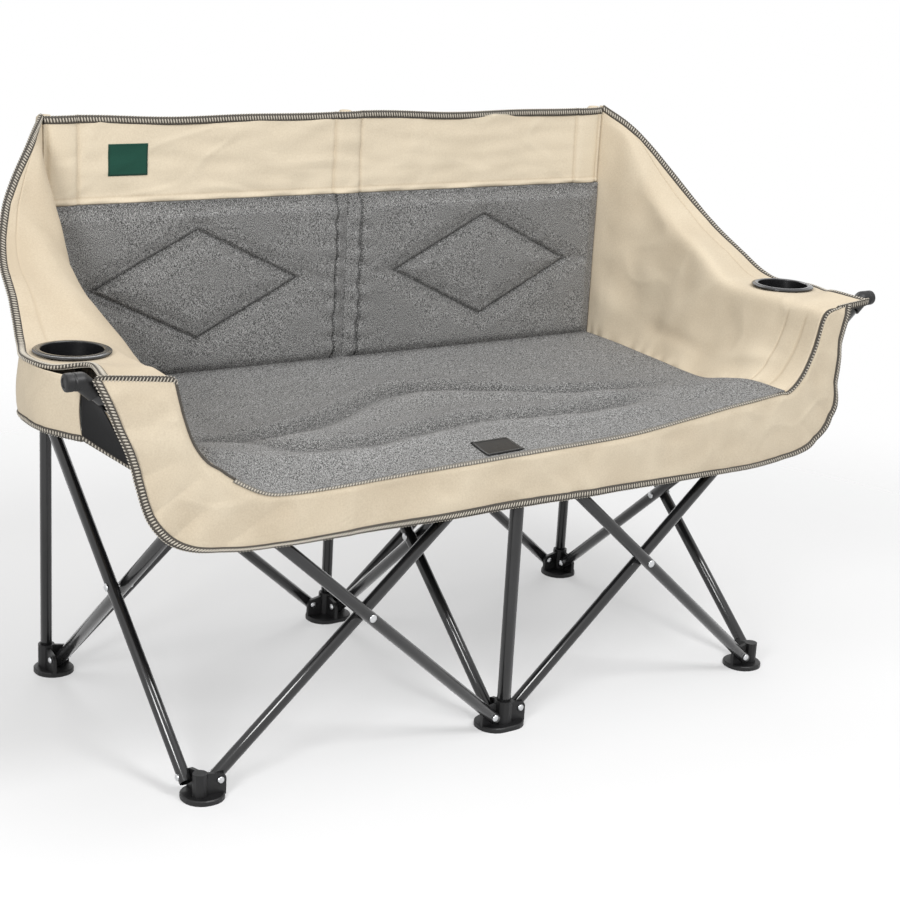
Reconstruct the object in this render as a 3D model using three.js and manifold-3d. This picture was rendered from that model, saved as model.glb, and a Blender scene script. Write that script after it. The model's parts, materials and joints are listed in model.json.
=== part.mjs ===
// Folding camping loveseat: a two-seat scissor frame of steel tubes under a padded fabric cover.
// Millimetres, +Z up, the front faces -Y, origin on the floor under the middle.
import * as THREE from 'three';
import { mergeVertices } from 'three/addons/utils/BufferGeometryUtils.js';
import Module from 'manifold-3d';

const wasm = await Module();
wasm.setup();

// Frame
const cell = 540; // between neighbouring legs, across and front to back
const pivotInset = 30; // from a leg's axis to the tube pivots beside it
const footPivotHeight = 28;
const bracketDrop = 30; // of a bracket's pivots below the seat's front edge
const tubeRadius = 9.5;
const tubeWall = 1.2;
const tubeEnd = 10; // tube past its last pivot
const tubeSides = 12;
const armReach = 292; // arm tube past its bracket pivot
const clearance = 0.3; // between pieces that seat or turn on each other
const layerGap = 2; // between the two tubes of a scissor
const postTop = 898;
const outerPostRadius = 11; // lower half of the telescoping front post
const outerPostDrop = 36; // of its top below the bracket's pivots
const slideTubeBottom = 150;

// Feet, brackets and rivets
const padThickness = 8;
const padOutside = 23; // pad past the leg axis on a side with no tube
const padInside = 41; // pad past the leg axis on a side with a tube
const padCorner = 28;
const padBevel = 1.6;
const socketFloor = 5;
const socketWall = 3.6;
const socketTop = 46;
const earThickness = 6;
const earRadius = 10;
const earSlope = 5; // an ear's rise from its eye to the boss
const bracketHalfHeight = 13;
const cornerBossRadius = 11;
const rivetShaft = 2.3;
const rivetHole = 3.2;
const rivetHead = 5;
const rivetHeadHeight = 2;

// Caps
const postCapHeight = 4;
const armCapRadius = 12.5;
const armCapCover = 26; // of tube inside the cap
const armPegLength = 23; // level peg from the tube's end outwards
const armPegRing = 2; // depth of the groove round the peg
const armPegEdge = 3; // chamfer at the peg's end

// Cover
const sheetThickness = 4;
const sewnGap = 0.5; // between cover pieces that are sewn together
const backTop = 912;
const bandHeight = 140;
const bandThickness = 5;
const sleeveRadius = 13.5;
const sleeveSides = 16;
const backLap = 13; // of the back below the seat's rear edge
const backThickness = 22;
const backEdge = 9; // thickness of the back along its seams
const backChannel = 7; // depth of the quilted lines
const channelWidth = 16;
const diamondHalfWidth = 187;
const diamondHalfHeight = 90;
const diamondHeight = 635;
const seatRake = 13; // rise of the seat from front to rear
const seatFrontHeight = 478;
const seatThickness = 15;
const seatSag = 10;
const seatRoll = 4; // drop of the pad's rounded side edges
const seatCurl = 38; // rise of the seat's front corners
const armHeight = 637;
const frontClearance = 4; // cover in front of the arm tubes' rivets
const skirtThickness = 3;
const skirtDepth = 98; // below the seat's front edge
const skirtFold = 2.4; // depth of the soft folds
const labelSize = new THREE.Vector2(68, 50);
const tagSize = new THREE.Vector2(84, 40);
const tagThickness = 1.2;
const labelInset = 133; // label's middle from the post's axis
const labelDrop = 72; // label's middle below the top
const tagShift = -44; // tag's middle from the seat's middle
const frontTuck = { left: 0, right: 44 }; // of a front panel's outer top corner

// Cup holders
const cupOut = 0.695; // cup's axis, as a share of the arm's overhang
const cupSetback = 144; // behind the front legs
const cupRadius = 43;
const cupWall = 2;
const cupDepth = 92;
const cupFlange = 54;
const cupFlangeHeight = 4;
const cupLift = 1.5; // of the lip over the arm's cloth
const cupSides = 18;
const pouchDepth = 84;
const pouchThickness = 3;
const pouchGap = 2.1; // under the arm's cloth
const pouchBelly = 5; // swell of the pouch's wall

// Worked out from the sizes above
const layer = tubeRadius + layerGap / 2;
const bracketHeight = seatFrontHeight - bracketDrop;
const pivotRise = bracketHeight - footPivotHeight;
const bracketTop = bracketHeight + bracketHalfHeight;
const cornerX = cell;
const frontY = -cell / 2;
const rearY = cell / 2;
const frontFace = frontY - layer - tubeRadius - frontClearance;
const scissorSpan = cell - 2 * pivotInset;
const scissorLength = Math.hypot(scissorSpan, pivotRise);
const lean = new THREE.Vector2(scissorSpan, pivotRise).divideScalar(scissorLength);
const armEndX = pivotInset + (scissorLength + armReach) * lean.x;
const armEndZ = footPivotHeight + (scissorLength + armReach) * lean.y;
const armOver = armEndX - cornerX;
const cupX = cornerX + cupOut * armOver;
const cupY = frontY + cupSetback;
const skirtBottom = seatFrontHeight - skirtDepth;
const seatRearHeight = seatFrontHeight + seatRake;
const backBottom = seatRearHeight - backLap;

const finish = (color, roughness, metalness) => (
  new THREE.MeshStandardMaterial({ color, roughness, metalness })
);
const blackTube = finish(0x1b1b1d, 0.32, 0.6);
const blackPlastic = finish(0x161617, 0.5, 0);
const steelRivet = finish(0xb9bbbd, 0.3, 1);
const beigeCloth = finish(0xdccdb0, 0.9, 0);
const greyCloth = finish(0x858585, 0.95, 0);
const blackCloth = finish(0x1d1d1f, 0.9, 0);
const greenCloth = finish(0x24513f, 0.8, 0);

const chair = new THREE.Group();

function addPiece(name, geometry, material) {
  const mesh = new THREE.Mesh(geometry, material);
  mesh.name = name;
  chair.add(mesh);
}

// Solids for joining and cutting
function toSolid(geometry) {
  const bare = geometry.clone();
  bare.deleteAttribute('normal');
  bare.deleteAttribute('uv');
  const merged = mergeVertices(bare, 1e-4);
  return new wasm.Manifold(new wasm.Mesh({
    numProp: 3,
    vertProperties: new Float32Array(merged.attributes.position.array),
    triVerts: new Uint32Array(merged.index.array),
  }));
}

function toGeometry(solid) {
  const { vertProperties, triVerts } = solid.getMesh();
  const geometry = new THREE.BufferGeometry();
  geometry.setAttribute('position', new THREE.BufferAttribute(vertProperties, 3));
  geometry.setIndex(new THREE.BufferAttribute(triVerts, 1));
  return geometry;
}

// A cylinder between two heights on an axis: 'x', 'y' or 'z'
function rod(axis, radius, low, high, sides) {
  const geometry = new THREE.CylinderGeometry(radius, radius, high - low, sides);
  geometry.translate(0, (low + high) / 2, 0);
  if (axis === 'x') geometry.rotateZ(-Math.PI / 2);
  if (axis === 'z') geometry.rotateX(Math.PI / 2);
  return geometry;
}

// A profile of [radius, height] turned about an axis
function turned(axis, profile, sides) {
  const points = profile.map(([radius, height]) => new THREE.Vector2(radius, height));
  const geometry = new THREE.LatheGeometry(points, sides);
  if (axis === 'x') geometry.rotateZ(-Math.PI / 2);
  if (axis === 'z') geometry.rotateX(Math.PI / 2);
  return geometry;
}

// A straight tube with open ends
function tube(start, end, radius, wall) {
  const ring = new THREE.Shape().absarc(0, 0, radius, 0, 2 * Math.PI);
  ring.holes.push(new THREE.Path().absarc(0, 0, radius - wall, 0, 2 * Math.PI, true));
  const path = new THREE.LineCurve3(start, end);
  return new THREE.ExtrudeGeometry(ring, { steps: 1, curveSegments: tubeSides / 2, extrudePath: path });
}

// Legs by their place in the grid: across -1, 0, 1 and front -1 or rear 1
const legs = {
  front_left: { across: -1, along: -1 },
  front_center: { across: 0, along: -1, postRadius: outerPostRadius },
  front_right: { across: 1, along: -1 },
  rear_left: { across: -1, along: 1, postRadius: tubeRadius },
  rear_center: { across: 0, along: 1, postRadius: tubeRadius },
  rear_right: { across: 1, along: 1, postRadius: tubeRadius },
};
for (const leg of Object.values(legs)) {
  leg.x = leg.across * cell;
  leg.y = leg.along * cell / 2;
}

// Every scissor tube rises from one leg's foot to a neighbour's bracket, in one of its pair's two layers
const scissorTubes = [
  { name: 'front_left_corner_tube', foot: 'front_left', top: 'front_center', side: 1 },
  { name: 'front_left_arm_tube', foot: 'front_center', top: 'front_left', side: -1, reach: armReach },
  { name: 'front_right_corner_tube', foot: 'front_right', top: 'front_center', side: -1 },
  { name: 'front_right_arm_tube', foot: 'front_center', top: 'front_right', side: 1, reach: armReach },
  { name: 'rear_left_corner_tube', foot: 'rear_left', top: 'rear_center', side: -1 },
  { name: 'rear_left_center_tube', foot: 'rear_center', top: 'rear_left', side: 1 },
  { name: 'rear_right_corner_tube', foot: 'rear_right', top: 'rear_center', side: 1 },
  { name: 'rear_right_center_tube', foot: 'rear_center', top: 'rear_right', side: -1 },
  { name: 'side_left_front_tube', foot: 'front_left', top: 'rear_left', side: -1 },
  { name: 'side_left_rear_tube', foot: 'rear_left', top: 'front_left', side: 1 },
  { name: 'side_right_front_tube', foot: 'front_right', top: 'rear_right', side: 1 },
  { name: 'side_right_rear_tube', foot: 'rear_right', top: 'front_right', side: -1 },
  { name: 'center_front_tube', foot: 'front_center', top: 'rear_center', side: -1 },
  { name: 'center_rear_tube', foot: 'rear_center', top: 'front_center', side: 1 },
];

for (const item of scissorTubes) {
  const foot = legs[item.foot];
  const top = legs[item.top];
  item.run = foot.y === top.y ? 'x' : 'y'; // the way the tube leans
  item.pin = item.run === 'x' ? 'y' : 'x'; // the way its rivets point
  item.way = Math.sign(top[item.run] - foot[item.run]);
  const place = (leg, way, height) => {
    const point = new THREE.Vector3(leg.x, leg.y, height);
    point[item.run] += way * pivotInset;
    point[item.pin] += item.side * layer;
    return point;
  };
  item.footPivot = place(foot, item.way, footPivotHeight);
  item.topPivot = place(top, -item.way, bracketHeight);
  item.middle = item.footPivot.clone().lerp(item.topPivot, 0.5);
  item.axis = item.topPivot.clone().sub(item.footPivot).normalize();
}

function scissorTube(item) {
  const start = item.footPivot.clone().addScaledVector(item.axis, -tubeEnd);
  const end = item.topPivot.clone().addScaledVector(item.axis, item.reach ?? tubeEnd);
  let solid = toSolid(tube(start, end, tubeRadius, tubeWall));
  for (const pivot of [item.footPivot, item.middle, item.topPivot]) {
    const drill = rod(item.pin, rivetHole, -2 * tubeRadius, 2 * tubeRadius, 6);
    drill.translate(pivot.x, pivot.y, pivot.z);
    solid = solid.subtract(toSolid(drill));
  }
  addPiece(item.name, toGeometry(solid), blackTube);
}
scissorTubes.forEach(scissorTube);

// Rivets at the crossings, with a collar that spaces the two tubes
function crossingRivet(item) {
  const far = layer + tubeRadius + clearance;
  const collar = layerGap / 2 - clearance;
  const half = [[rivetHead, collar], [rivetShaft, collar], [rivetShaft, far], [rivetHead, far],
    [rivetHead * 0.7, far + rivetHeadHeight], [0, far + rivetHeadHeight]];
  const mirrored = half.map(([radius, height]) => [radius, -height]).reverse();
  const geometry = turned(item.pin, [...mirrored, ...half], 6);
  const place = item.middle.clone();
  place[item.pin] -= item.side * layer;
  geometry.translate(place.x, place.y, place.z);
  addPiece(item.name.replace(/_(corner|front)_tube$/, '_crossing_rivet'), geometry, steelRivet);
}
scissorTubes.filter((item) => /_(corner|front)_tube$/.test(item.name)).forEach(crossingRivet);

// Ears carry the tube pivots on feet and brackets: a plate beside the tube and a rivet through both
function ear(item, leg, way, outline, pivot) {
  const near = item.side * (layer - tubeRadius - clearance);
  const plate = new THREE.ExtrudeGeometry(outline, {
    depth: earThickness, bevelEnabled: false, curveSegments: 3,
  });
  plate.rotateX(Math.PI / 2); // outline across and up, depth towards -Y
  if (item.run === 'x') {
    if (way < 0) plate.rotateZ(Math.PI);
    plate.computeBoundingBox();
    const { min, max } = plate.boundingBox;
    plate.translate(leg.x, leg.y + near - (item.side > 0 ? max.y : min.y), 0);
  } else {
    plate.rotateZ(way * Math.PI / 2);
    plate.computeBoundingBox();
    const { min, max } = plate.boundingBox;
    plate.translate(leg.x + near - (item.side > 0 ? max.x : min.x), leg.y, 0);
  }
  const far = tubeRadius + clearance;
  const back = near - item.side * (earThickness + rivetHeadHeight) - item.side * layer;
  const ends = [back, item.side * (far + rivetHeadHeight)].sort((a, b) => a - b);
  const heads = item.side > 0
    ? [ends[0] + rivetHeadHeight + clearance, far]
    : [-far, ends[1] - rivetHeadHeight - clearance];
  const rivet = turned(item.pin, [[0, ends[0]], [rivetHead * 0.7, ends[0]], [rivetHead, heads[0]],
    [rivetShaft, heads[0]], [rivetShaft, heads[1]], [rivetHead, heads[1]],
    [rivetHead * 0.7, ends[1]], [0, ends[1]]], 6);
  rivet.translate(pivot.x, pivot.y, pivot.z);
  return toSolid(plate).add(toSolid(rivet));
}

function footEarOutline() {
  const outline = new THREE.Shape();
  const base = padThickness / 2;
  outline.moveTo(cornerBossRadius / 2, base);
  outline.lineTo(pivotInset + earRadius, base);
  outline.lineTo(pivotInset + earRadius, footPivotHeight);
  outline.absarc(pivotInset, footPivotHeight, earRadius, 0, Math.PI / 2);
  outline.lineTo(cornerBossRadius / 2, footPivotHeight + earRadius + earSlope);
  return outline;
}

function bracketEarOutline() {
  const outline = new THREE.Shape();
  outline.moveTo(cornerBossRadius / 2, bracketHeight - bracketHalfHeight);
  outline.lineTo(pivotInset, bracketHeight - earRadius);
  outline.absarc(pivotInset, bracketHeight, earRadius, -Math.PI / 2, Math.PI / 2);
  outline.lineTo(cornerBossRadius / 2, bracketTop);
  return outline;
}

function roundedRectangle(left, right, front, rear, radius) {
  const outline = new THREE.Shape();
  outline.absarc(right - radius, rear - radius, radius, 0, Math.PI / 2);
  outline.absarc(left + radius, rear - radius, radius, Math.PI / 2, Math.PI);
  outline.absarc(left + radius, front + radius, radius, Math.PI, 1.5 * Math.PI);
  outline.absarc(right - radius, front + radius, radius, 1.5 * Math.PI, 2 * Math.PI);
  return outline;
}

// Feet: a flared pad, a boss or post socket, and an ear for every tube that stands there
function foot(name, leg) {
  const tubes = scissorTubes.filter((item) => item.foot === name);
  const spread = (run, way) => {
    const held = tubes.some((item) => item.run === run && item.way === way);
    return way * ((held ? padInside : padOutside) - padBevel);
  };
  const outline = roundedRectangle(
    spread('x', -1), spread('x', 1), spread('y', -1), spread('y', 1), padCorner,
  );
  const pad = new THREE.ExtrudeGeometry(outline, {
    depth: padThickness - padBevel, curveSegments: 3, bevelSegments: 1,
    bevelSize: padBevel, bevelThickness: padBevel,
  });
  const lower = new THREE.BoxGeometry(4 * padInside, 4 * padInside, 2 * padBevel);
  let solid = toSolid(pad).subtract(toSolid(lower.translate(0, 0, -padBevel)));
  const bossRadius = leg.postRadius ? leg.postRadius + clearance + socketWall : cornerBossRadius;
  const bossTop = leg.postRadius ? socketTop : footPivotHeight + earRadius + earSlope;
  solid = solid.add(toSolid(rod('z', bossRadius, padThickness / 2, bossTop, tubeSides)));
  solid = solid.translate([leg.x, leg.y, 0]);
  for (const item of tubes) {
    solid = solid.add(ear(item, leg, item.way, footEarOutline(), item.footPivot));
  }
  if (leg.postRadius) {
    const socket = rod('z', leg.postRadius + clearance, socketFloor, socketTop + padThickness, tubeSides);
    solid = solid.subtract(toSolid(socket.translate(leg.x, leg.y, 0)));
  }
  addPiece(`${name}_foot`, toGeometry(solid), blackPlastic);
}

// The room an arm tube takes above its bracket pivot
function armRoom(item, radius, from) {
  const room = rod('z', radius, from, armReach + armCapRadius, tubeSides);
  room.applyQuaternion(new THREE.Quaternion().setFromUnitVectors(new THREE.Vector3(0, 0, 1), item.axis));
  return toSolid(room.translate(item.topPivot.x, item.topPivot.y, item.topPivot.z));
}

// Brackets: the rear ones slide on the posts, the front middle one holds the sliding tube
function bracket(name, leg) {
  const tubes = scissorTubes.filter((item) => item.top === name);
  const boreRadius = tubeRadius + clearance;
  const bossRadius = leg.postRadius ? boreRadius + socketWall : cornerBossRadius;
  const low = bracketHeight - bracketHalfHeight;
  let solid = toSolid(rod('z', bossRadius, low, bracketTop, tubeSides)).translate([leg.x, leg.y, 0]);
  const ears = (item) => ear(item, leg, -item.way, bracketEarOutline(), item.topPivot);
  for (const item of tubes.filter((each) => !each.reach)) solid = solid.add(ears(item));
  for (const item of tubes.filter((each) => each.reach)) {
    solid = solid.subtract(armRoom(item, tubeRadius + 3 * clearance, -2 * tubeRadius)).add(ears(item));
  }
  if (leg.postRadius) {
    const boreTop = leg.along > 0 ? bracketTop + bracketHalfHeight : bracketTop - socketWall;
    const bore = rod('z', boreRadius, low - bracketHalfHeight, boreTop, tubeSides);
    solid = solid.subtract(toSolid(bore.translate(leg.x, leg.y, 0)));
  }
  addPiece(`${name}_bracket`, toGeometry(solid), blackPlastic);
}

for (const [name, leg] of Object.entries(legs)) {
  foot(name, leg);
  bracket(name, leg);
}

// Posts: three tall rear ones with closed tops, and a front middle one that telescopes as the frame folds
const postBottom = socketFloor + clearance;
function rearPost(name, leg) {
  const inner = tubeRadius - tubeWall;
  const profile = [[0, postTop], [inner, postTop], [inner, postBottom], [tubeRadius, postBottom],
    [tubeRadius, postTop + postCapHeight / 2], [tubeRadius * 0.6, postTop + postCapHeight],
    [0, postTop + postCapHeight]];
  addPiece(name, turned('z', profile, tubeSides).translate(leg.x, leg.y, 0), blackTube);
}
function frontTube(name, leg, bottom, top, radius) {
  const start = new THREE.Vector3(leg.x, leg.y, bottom);
  const end = new THREE.Vector3(leg.x, leg.y, top);
  addPiece(name, tube(start, end, radius, tubeWall), blackTube);
}
const rearLegs = ['rear_left', 'rear_center', 'rear_right'];
for (const name of rearLegs) rearPost(`${name}_post`, legs[name]);
const slideTubeTop = bracketTop - socketWall - clearance;
const outerPostTop = bracketHeight - outerPostDrop;
frontTube('front_center_post', legs.front_center, postBottom, outerPostTop, outerPostRadius);
frontTube('front_slide_tube', legs.front_center, slideTubeBottom, slideTubeTop, tubeRadius);

// Arm caps: a socket over the end of a long tube, turning into a level peg with a groove round it
function armCap(item) {
  const end = item.topPivot.clone().addScaledVector(item.axis, armReach);
  const socket = rod('z', armCapRadius, -armCapCover, 0, tubeSides);
  socket.applyQuaternion(new THREE.Quaternion().setFromUnitVectors(new THREE.Vector3(0, 0, 1), item.axis));
  const elbow = new THREE.SphereGeometry(armCapRadius, tubeSides, 6);
  const groove = armPegLength * 0.55;
  const inner = armCapRadius - armPegRing / 2;
  const profile = [[0, 0], [armCapRadius, 0], [armCapRadius, groove - armPegRing],
    [inner, groove - armPegRing / 2], [inner, groove + armPegRing / 2],
    [armCapRadius, groove + armPegRing], [armCapRadius, armPegLength - armPegEdge],
    [armCapRadius - armPegEdge, armPegLength], [0, armPegLength]];
  const peg = turned('x', profile, tubeSides);
  if (item.way < 0) peg.rotateZ(Math.PI);
  const solid = toSolid(socket).add(toSolid(elbow)).add(toSolid(peg)).translate(end.toArray());
  const bore = rod('z', tubeRadius + clearance, -2 * armCapCover, clearance, tubeSides);
  bore.applyQuaternion(new THREE.Quaternion().setFromUnitVectors(new THREE.Vector3(0, 0, 1), item.axis));
  const cap = solid.subtract(toSolid(bore.translate(end.x, end.y, end.z)));
  addPiece(item.name.replace('tube', 'cap'), toGeometry(cap), blackPlastic);
}
scissorTubes.filter((item) => item.reach).forEach(armCap);

// Closed solids from a grid of points on each of two faces
function gridSolid(columns, rows, upper, lower) {
  const positions = [];
  const index = [];
  const wide = columns + 1;
  const count = wide * (rows + 1);
  for (const face of [upper, lower]) {
    for (let j = 0; j <= rows; j += 1) {
      for (let i = 0; i <= columns; i += 1) {
        positions.push(...face(i / columns, j / rows).toArray());
      }
    }
  }
  const quad = (a, b, c, d) => index.push(a, b, c, a, c, d);
  for (let j = 0; j < rows; j += 1) {
    for (let i = 0; i < columns; i += 1) {
      const a = j * wide + i;
      quad(a, a + 1, a + 1 + wide, a + wide);
      quad(count + a, count + a + wide, count + a + wide + 1, count + a + 1);
    }
  }
  for (let i = 0; i < columns; i += 1) {
    const last = rows * wide + i;
    quad(i, count + i, count + i + 1, i + 1);
    quad(last, last + 1, count + last + 1, count + last);
  }
  for (let j = 0; j < rows; j += 1) {
    const a = j * wide;
    const b = a + columns;
    quad(a, a + wide, count + a + wide, count + a);
    quad(b, count + b, count + b + wide, b + wide);
  }
  const geometry = new THREE.BufferGeometry();
  geometry.setAttribute('position', new THREE.Float32BufferAttribute(positions, 3));
  geometry.setIndex(index);
  if (signedVolume(geometry) < 0) {
    for (let k = 0; k < index.length; k += 3) [index[k], index[k + 1]] = [index[k + 1], index[k]];
    geometry.setIndex(index);
  }
  return geometry;
}

function signedVolume(geometry) {
  const { position } = geometry.attributes;
  const corners = geometry.index.array;
  const at = (k) => new THREE.Vector3().fromBufferAttribute(position, corners[k]);
  let sum = 0;
  for (let k = 0; k < corners.length; k += 3) sum += at(k).dot(at(k + 1).cross(at(k + 2)));
  return sum / 6;
}

// A sheet of even thickness about a middle surface
function sheetSolid(columns, rows, surface, thickness) {
  const step = 1e-3;
  const offset = (sign) => (u, v) => {
    const low = Math.min(u, 1 - step);
    const near = Math.min(v, 1 - step);
    const along = surface(low + step, near).sub(surface(low, near));
    const up = surface(low, near + step).sub(surface(low, near));
    const normal = along.cross(up).normalize();
    return surface(u, v).addScaledVector(normal, sign * thickness / 2);
  };
  return gridSolid(columns, rows, offset(1), offset(-1));
}

const smooth = (t) => t * t * (3 - 2 * t);
const mix = (a, b, t) => a + (b - a) * t;
const clamp = (t) => Math.min(1, Math.max(0, t));

// Stations along a side of the cover, from the rear post to the front, each at a share of the depth.
// The seat's edge has shares of the arm's overhang and of the seat's curl, the crease and the outer edge
// shares of the overhang and of the shoulder's height above the arm.
const frontEdge = frontFace + sewnGap;
const shoulder = backTop - armHeight;
const stations = [
  { at: 0.026, seat: [0.053, 0], crease: [0.058, 0.88], outer: [0.063, 1] },
  { at: 0.107, seat: [0.06, 0], crease: [0.16, 0.81], outer: [0.27, 0.87] },
  { at: 0.204, seat: [0.06, 0], crease: [0.3, 0.47], outer: [0.58, 0.59] },
  { at: 0.32, seat: [0.037, 0], crease: [0.34, 0.28], outer: [0.755, 0.34] },
  { at: 0.46, seat: [-0.005, 0.03], crease: [0.34, 0.15], outer: [0.84, 0.16] },
  { at: 0.6, seat: [-0.074, 0.1], crease: [0.35, 0.004], outer: [0.95, 0.007] },
  { at: (rearY - cupY) / cell, seat: [-0.137, 0.27], crease: [0.337, 0], outer: [1.064, 0] },
  { at: 0.835, seat: [-0.121, 0.62], crease: [0.332, 0], outer: [1, 0] },
  { at: 0.925, seat: [-0.08, 0.86], crease: [0.326, -0.01], outer: [0.82, 0.04] },
  { at: (rearY - frontEdge) / cell, seat: [-0.047, 1], crease: [0.32, -0.01], outer: [0.875, 0.03] },
];
const seatHeight = (y) => mix(seatRearHeight, seatFrontHeight, (rearY - y) / cell);
const curveOf = (points) => new THREE.CatmullRomCurve3(points, false, 'centripetal');
const sideCurve = (key, height) => curveOf(stations.map((station) => {
  const y = rearY - station.at * cell;
  const [out, up] = station[key];
  return new THREE.Vector3(cornerX + out * armOver, y, height(up, y));
}));
const seatCurve = sideCurve('seat', (up, y) => seatHeight(y) - seatThickness + 1 + up * seatCurl);
const creaseCurve = sideCurve('crease', (up) => armHeight + up * shoulder);
const outerCurve = sideCurve('outer', (up) => armHeight + up * shoulder);

// A side wing: the wall bends up from the seat to the crease, then turns out over the arm.
// The left wall is slacker and bellies in over the seat behind the cup holder.
const wallShare = 0.62; // of the rows
const wallSlack = 52;
const slackShare = (u) => smooth(clamp(u / 0.2)) * (1 - smooth(clamp((u - 0.5) / 0.3)));
function wingSurface(u, v, side) {
  const low = seatCurve.getPoint(u);
  const crease = creaseCurve.getPoint(u);
  const outer = outerCurve.getPoint(u);
  const slack = side < 0 ? slackShare(u) : 0;
  low.x += 2 * sewnGap + slack + sheetThickness / 2;
  if (v <= wallShare) {
    const height = crease.z - low.z;
    const foot = low.clone().lerp(crease, 0.3);
    foot.x = mix(mix(low.x, crease.x, 0.51), low.x, slack);
    foot.z = low.z + height * mix(0.11, 0.3, slack);
    const head = low.clone().lerp(crease, 0.7);
    head.x = mix(mix(low.x, crease.x, 0.84), low.x - wallSlack, slack);
    head.z = low.z + height * mix(0.44, 0.8, slack);
    return new THREE.CubicBezierCurve3(low, foot, head, crease).getPoint(v / wallShare);
  }
  const t = (v - wallShare) / (1 - wallShare);
  return crease.lerp(outer, t);
}
const mirrored = (point, side) => point.multiply(new THREE.Vector3(side, 1, 1));

function wing(name, side) {
  const arm = scissorTubes.find((item) => item.reach && item.way === side);
  const reach = cupFlange / 2; // of the hole's cutter above and below the arm
  const holeRadius = cupRadius + cupWall + 2 * clearance;
  const hole = rod('z', holeRadius, armHeight - reach, armHeight + reach, cupSides);
  const surface = (u, v) => mirrored(wingSurface(u, v, side), side);
  const shell = toSolid(sheetSolid(20, 11, surface, sheetThickness))
    .subtract(toSolid(hole.translate(side * cupX, cupY, 0)))
    .subtract(armRoom(arm, tubeRadius + 2 * clearance, 0))
    .subtract(armRoom(arm, armCapRadius + 2 * clearance, armReach - armCapCover - 1));
  addPiece(name, toGeometry(shell), beigeCloth);
}

// A cup holder: a turned cup with a wide lip that lies on the arm
function cupHolder(name, side) {
  const lip = armHeight + sheetThickness / 2 + cupLift;
  const outside = cupRadius + cupWall;
  const profile = [[0, lip - cupDepth], [outside - 5, lip - cupDepth], [outside, lip - cupDepth + 5],
    [outside, lip], [cupFlange - 1, lip], [cupFlange, lip + cupFlangeHeight / 2],
    [cupFlange - 3, lip + cupFlangeHeight], [cupRadius + 2, lip + cupFlangeHeight],
    [cupRadius, lip + cupFlangeHeight - 2], [cupRadius, lip - cupDepth + 6],
    [cupRadius - 4, lip - cupDepth + cupWall], [0, lip - cupDepth + cupWall]];
  addPiece(name, turned('z', profile, cupSides).translate(side * cupX, cupY, 0), blackPlastic);
}

// The pouch round a cup: a cloth wall that hangs from the arm's outer edge
function pouch(name, side) {
  const rim = armHeight - sheetThickness / 2 - pouchGap;
  // points round the cup, in shares of its lip
  const round = [[-0.81, 1.11], [0.19, 1.22], [1.04, 0.78], [1.22, -0.11], [1.15, -1],
    [0.89, -1.67], [0.67, -2.11]];
  const route = curveOf(round.map(([x, y]) => (
    new THREE.Vector3(cupX + x * cupFlange, cupY + y * cupFlange, rim)
  )));
  const surface = (u, v) => {
    const point = route.getPoint(u);
    point.z -= v * pouchDepth;
    point.x += pouchBelly * Math.sin(Math.PI * v);
    return mirrored(point, side);
  };
  addPiece(name, sheetSolid(13, 3, surface, pouchThickness), beigeCloth);
}

// A black gusset behind the arm tube, under the arm's front corner
function gusset(name, side) {
  const arm = scissorTubes.find((item) => item.reach && item.way === side);
  const back = frontY + arm.side * layer + tubeRadius + clearance;
  const outline = new THREE.Shape();
  const top = armEndX - armCapCover;
  outline.moveTo(top, armEndZ - 0.21 * pouchDepth);
  outline.lineTo(top + 0.12 * pouchDepth, armEndZ - 0.89 * pouchDepth);
  outline.lineTo(top - 0.4 * pouchDepth, armEndZ - 1.23 * pouchDepth);
  const geometry = new THREE.ExtrudeGeometry(outline, { depth: skirtThickness, bevelEnabled: false });
  geometry.rotateX(Math.PI / 2);
  if (side < 0) geometry.rotateZ(Math.PI);
  geometry.computeBoundingBox();
  geometry.translate(0, back - geometry.boundingBox.min.y, 0);
  addPiece(name, geometry, blackCloth);
}

// The seat: two padded halves that meet at the fold across the middle
const seatFold = 0.5; // share of the side stations
const seatWrinkles = [{ at: 0.62, height: 5 }, { at: 0.78, height: 6 }, { at: 0.9, height: 4 }];
const curlShare = (across) => smooth(Math.max(0, Math.abs(across) - 0.7) / 0.3);
function seatSurface(u, v) {
  const edge = seatCurve.getPoint(u);
  const across = 2 * v - 1;
  const inner = 1 - across * across;
  const flat = seatHeight(edge.y);
  let height = flat - seatSag * inner * Math.sin(Math.PI * u);
  height += (edge.z - flat + seatThickness - 1) * curlShare(across);
  for (const { at, height: rise } of seatWrinkles) {
    const line = u - at - 0.06 * across * across + 0.05 * across;
    height += rise * inner * Math.exp(-((line / 0.035) ** 2));
  }
  const roll = Math.max(0, Math.abs(across) - 0.97) / 0.03;
  height -= seatRoll * roll * roll;
  return new THREE.Vector3(across * edge.x, edge.y, height);
}
function seatHalf(name, from, to) {
  const gap = clearance / 2 / cell;
  const start = from === 0 ? 0.03 : from + gap;
  const end = to === 1 ? 1 : to - gap;
  const upper = (u, v) => seatSurface(mix(start, end, u), v);
  const lower = (u, v) => {
    const point = upper(u, v);
    const edge = seatCurve.getPoint(mix(start, end, u));
    const flat = seatHeight(point.y) - seatThickness;
    const across = 2 * v - 1;
    point.z = flat + (edge.z - flat - 1) * curlShare(across);
    point.z -= 0.3 * seatSag * Math.sin(Math.PI * mix(start, end, u)) * (1 - across * across);
    return point;
  };
  addPiece(name, gridSolid(9, 18, upper, lower), greyCloth);
}

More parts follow.
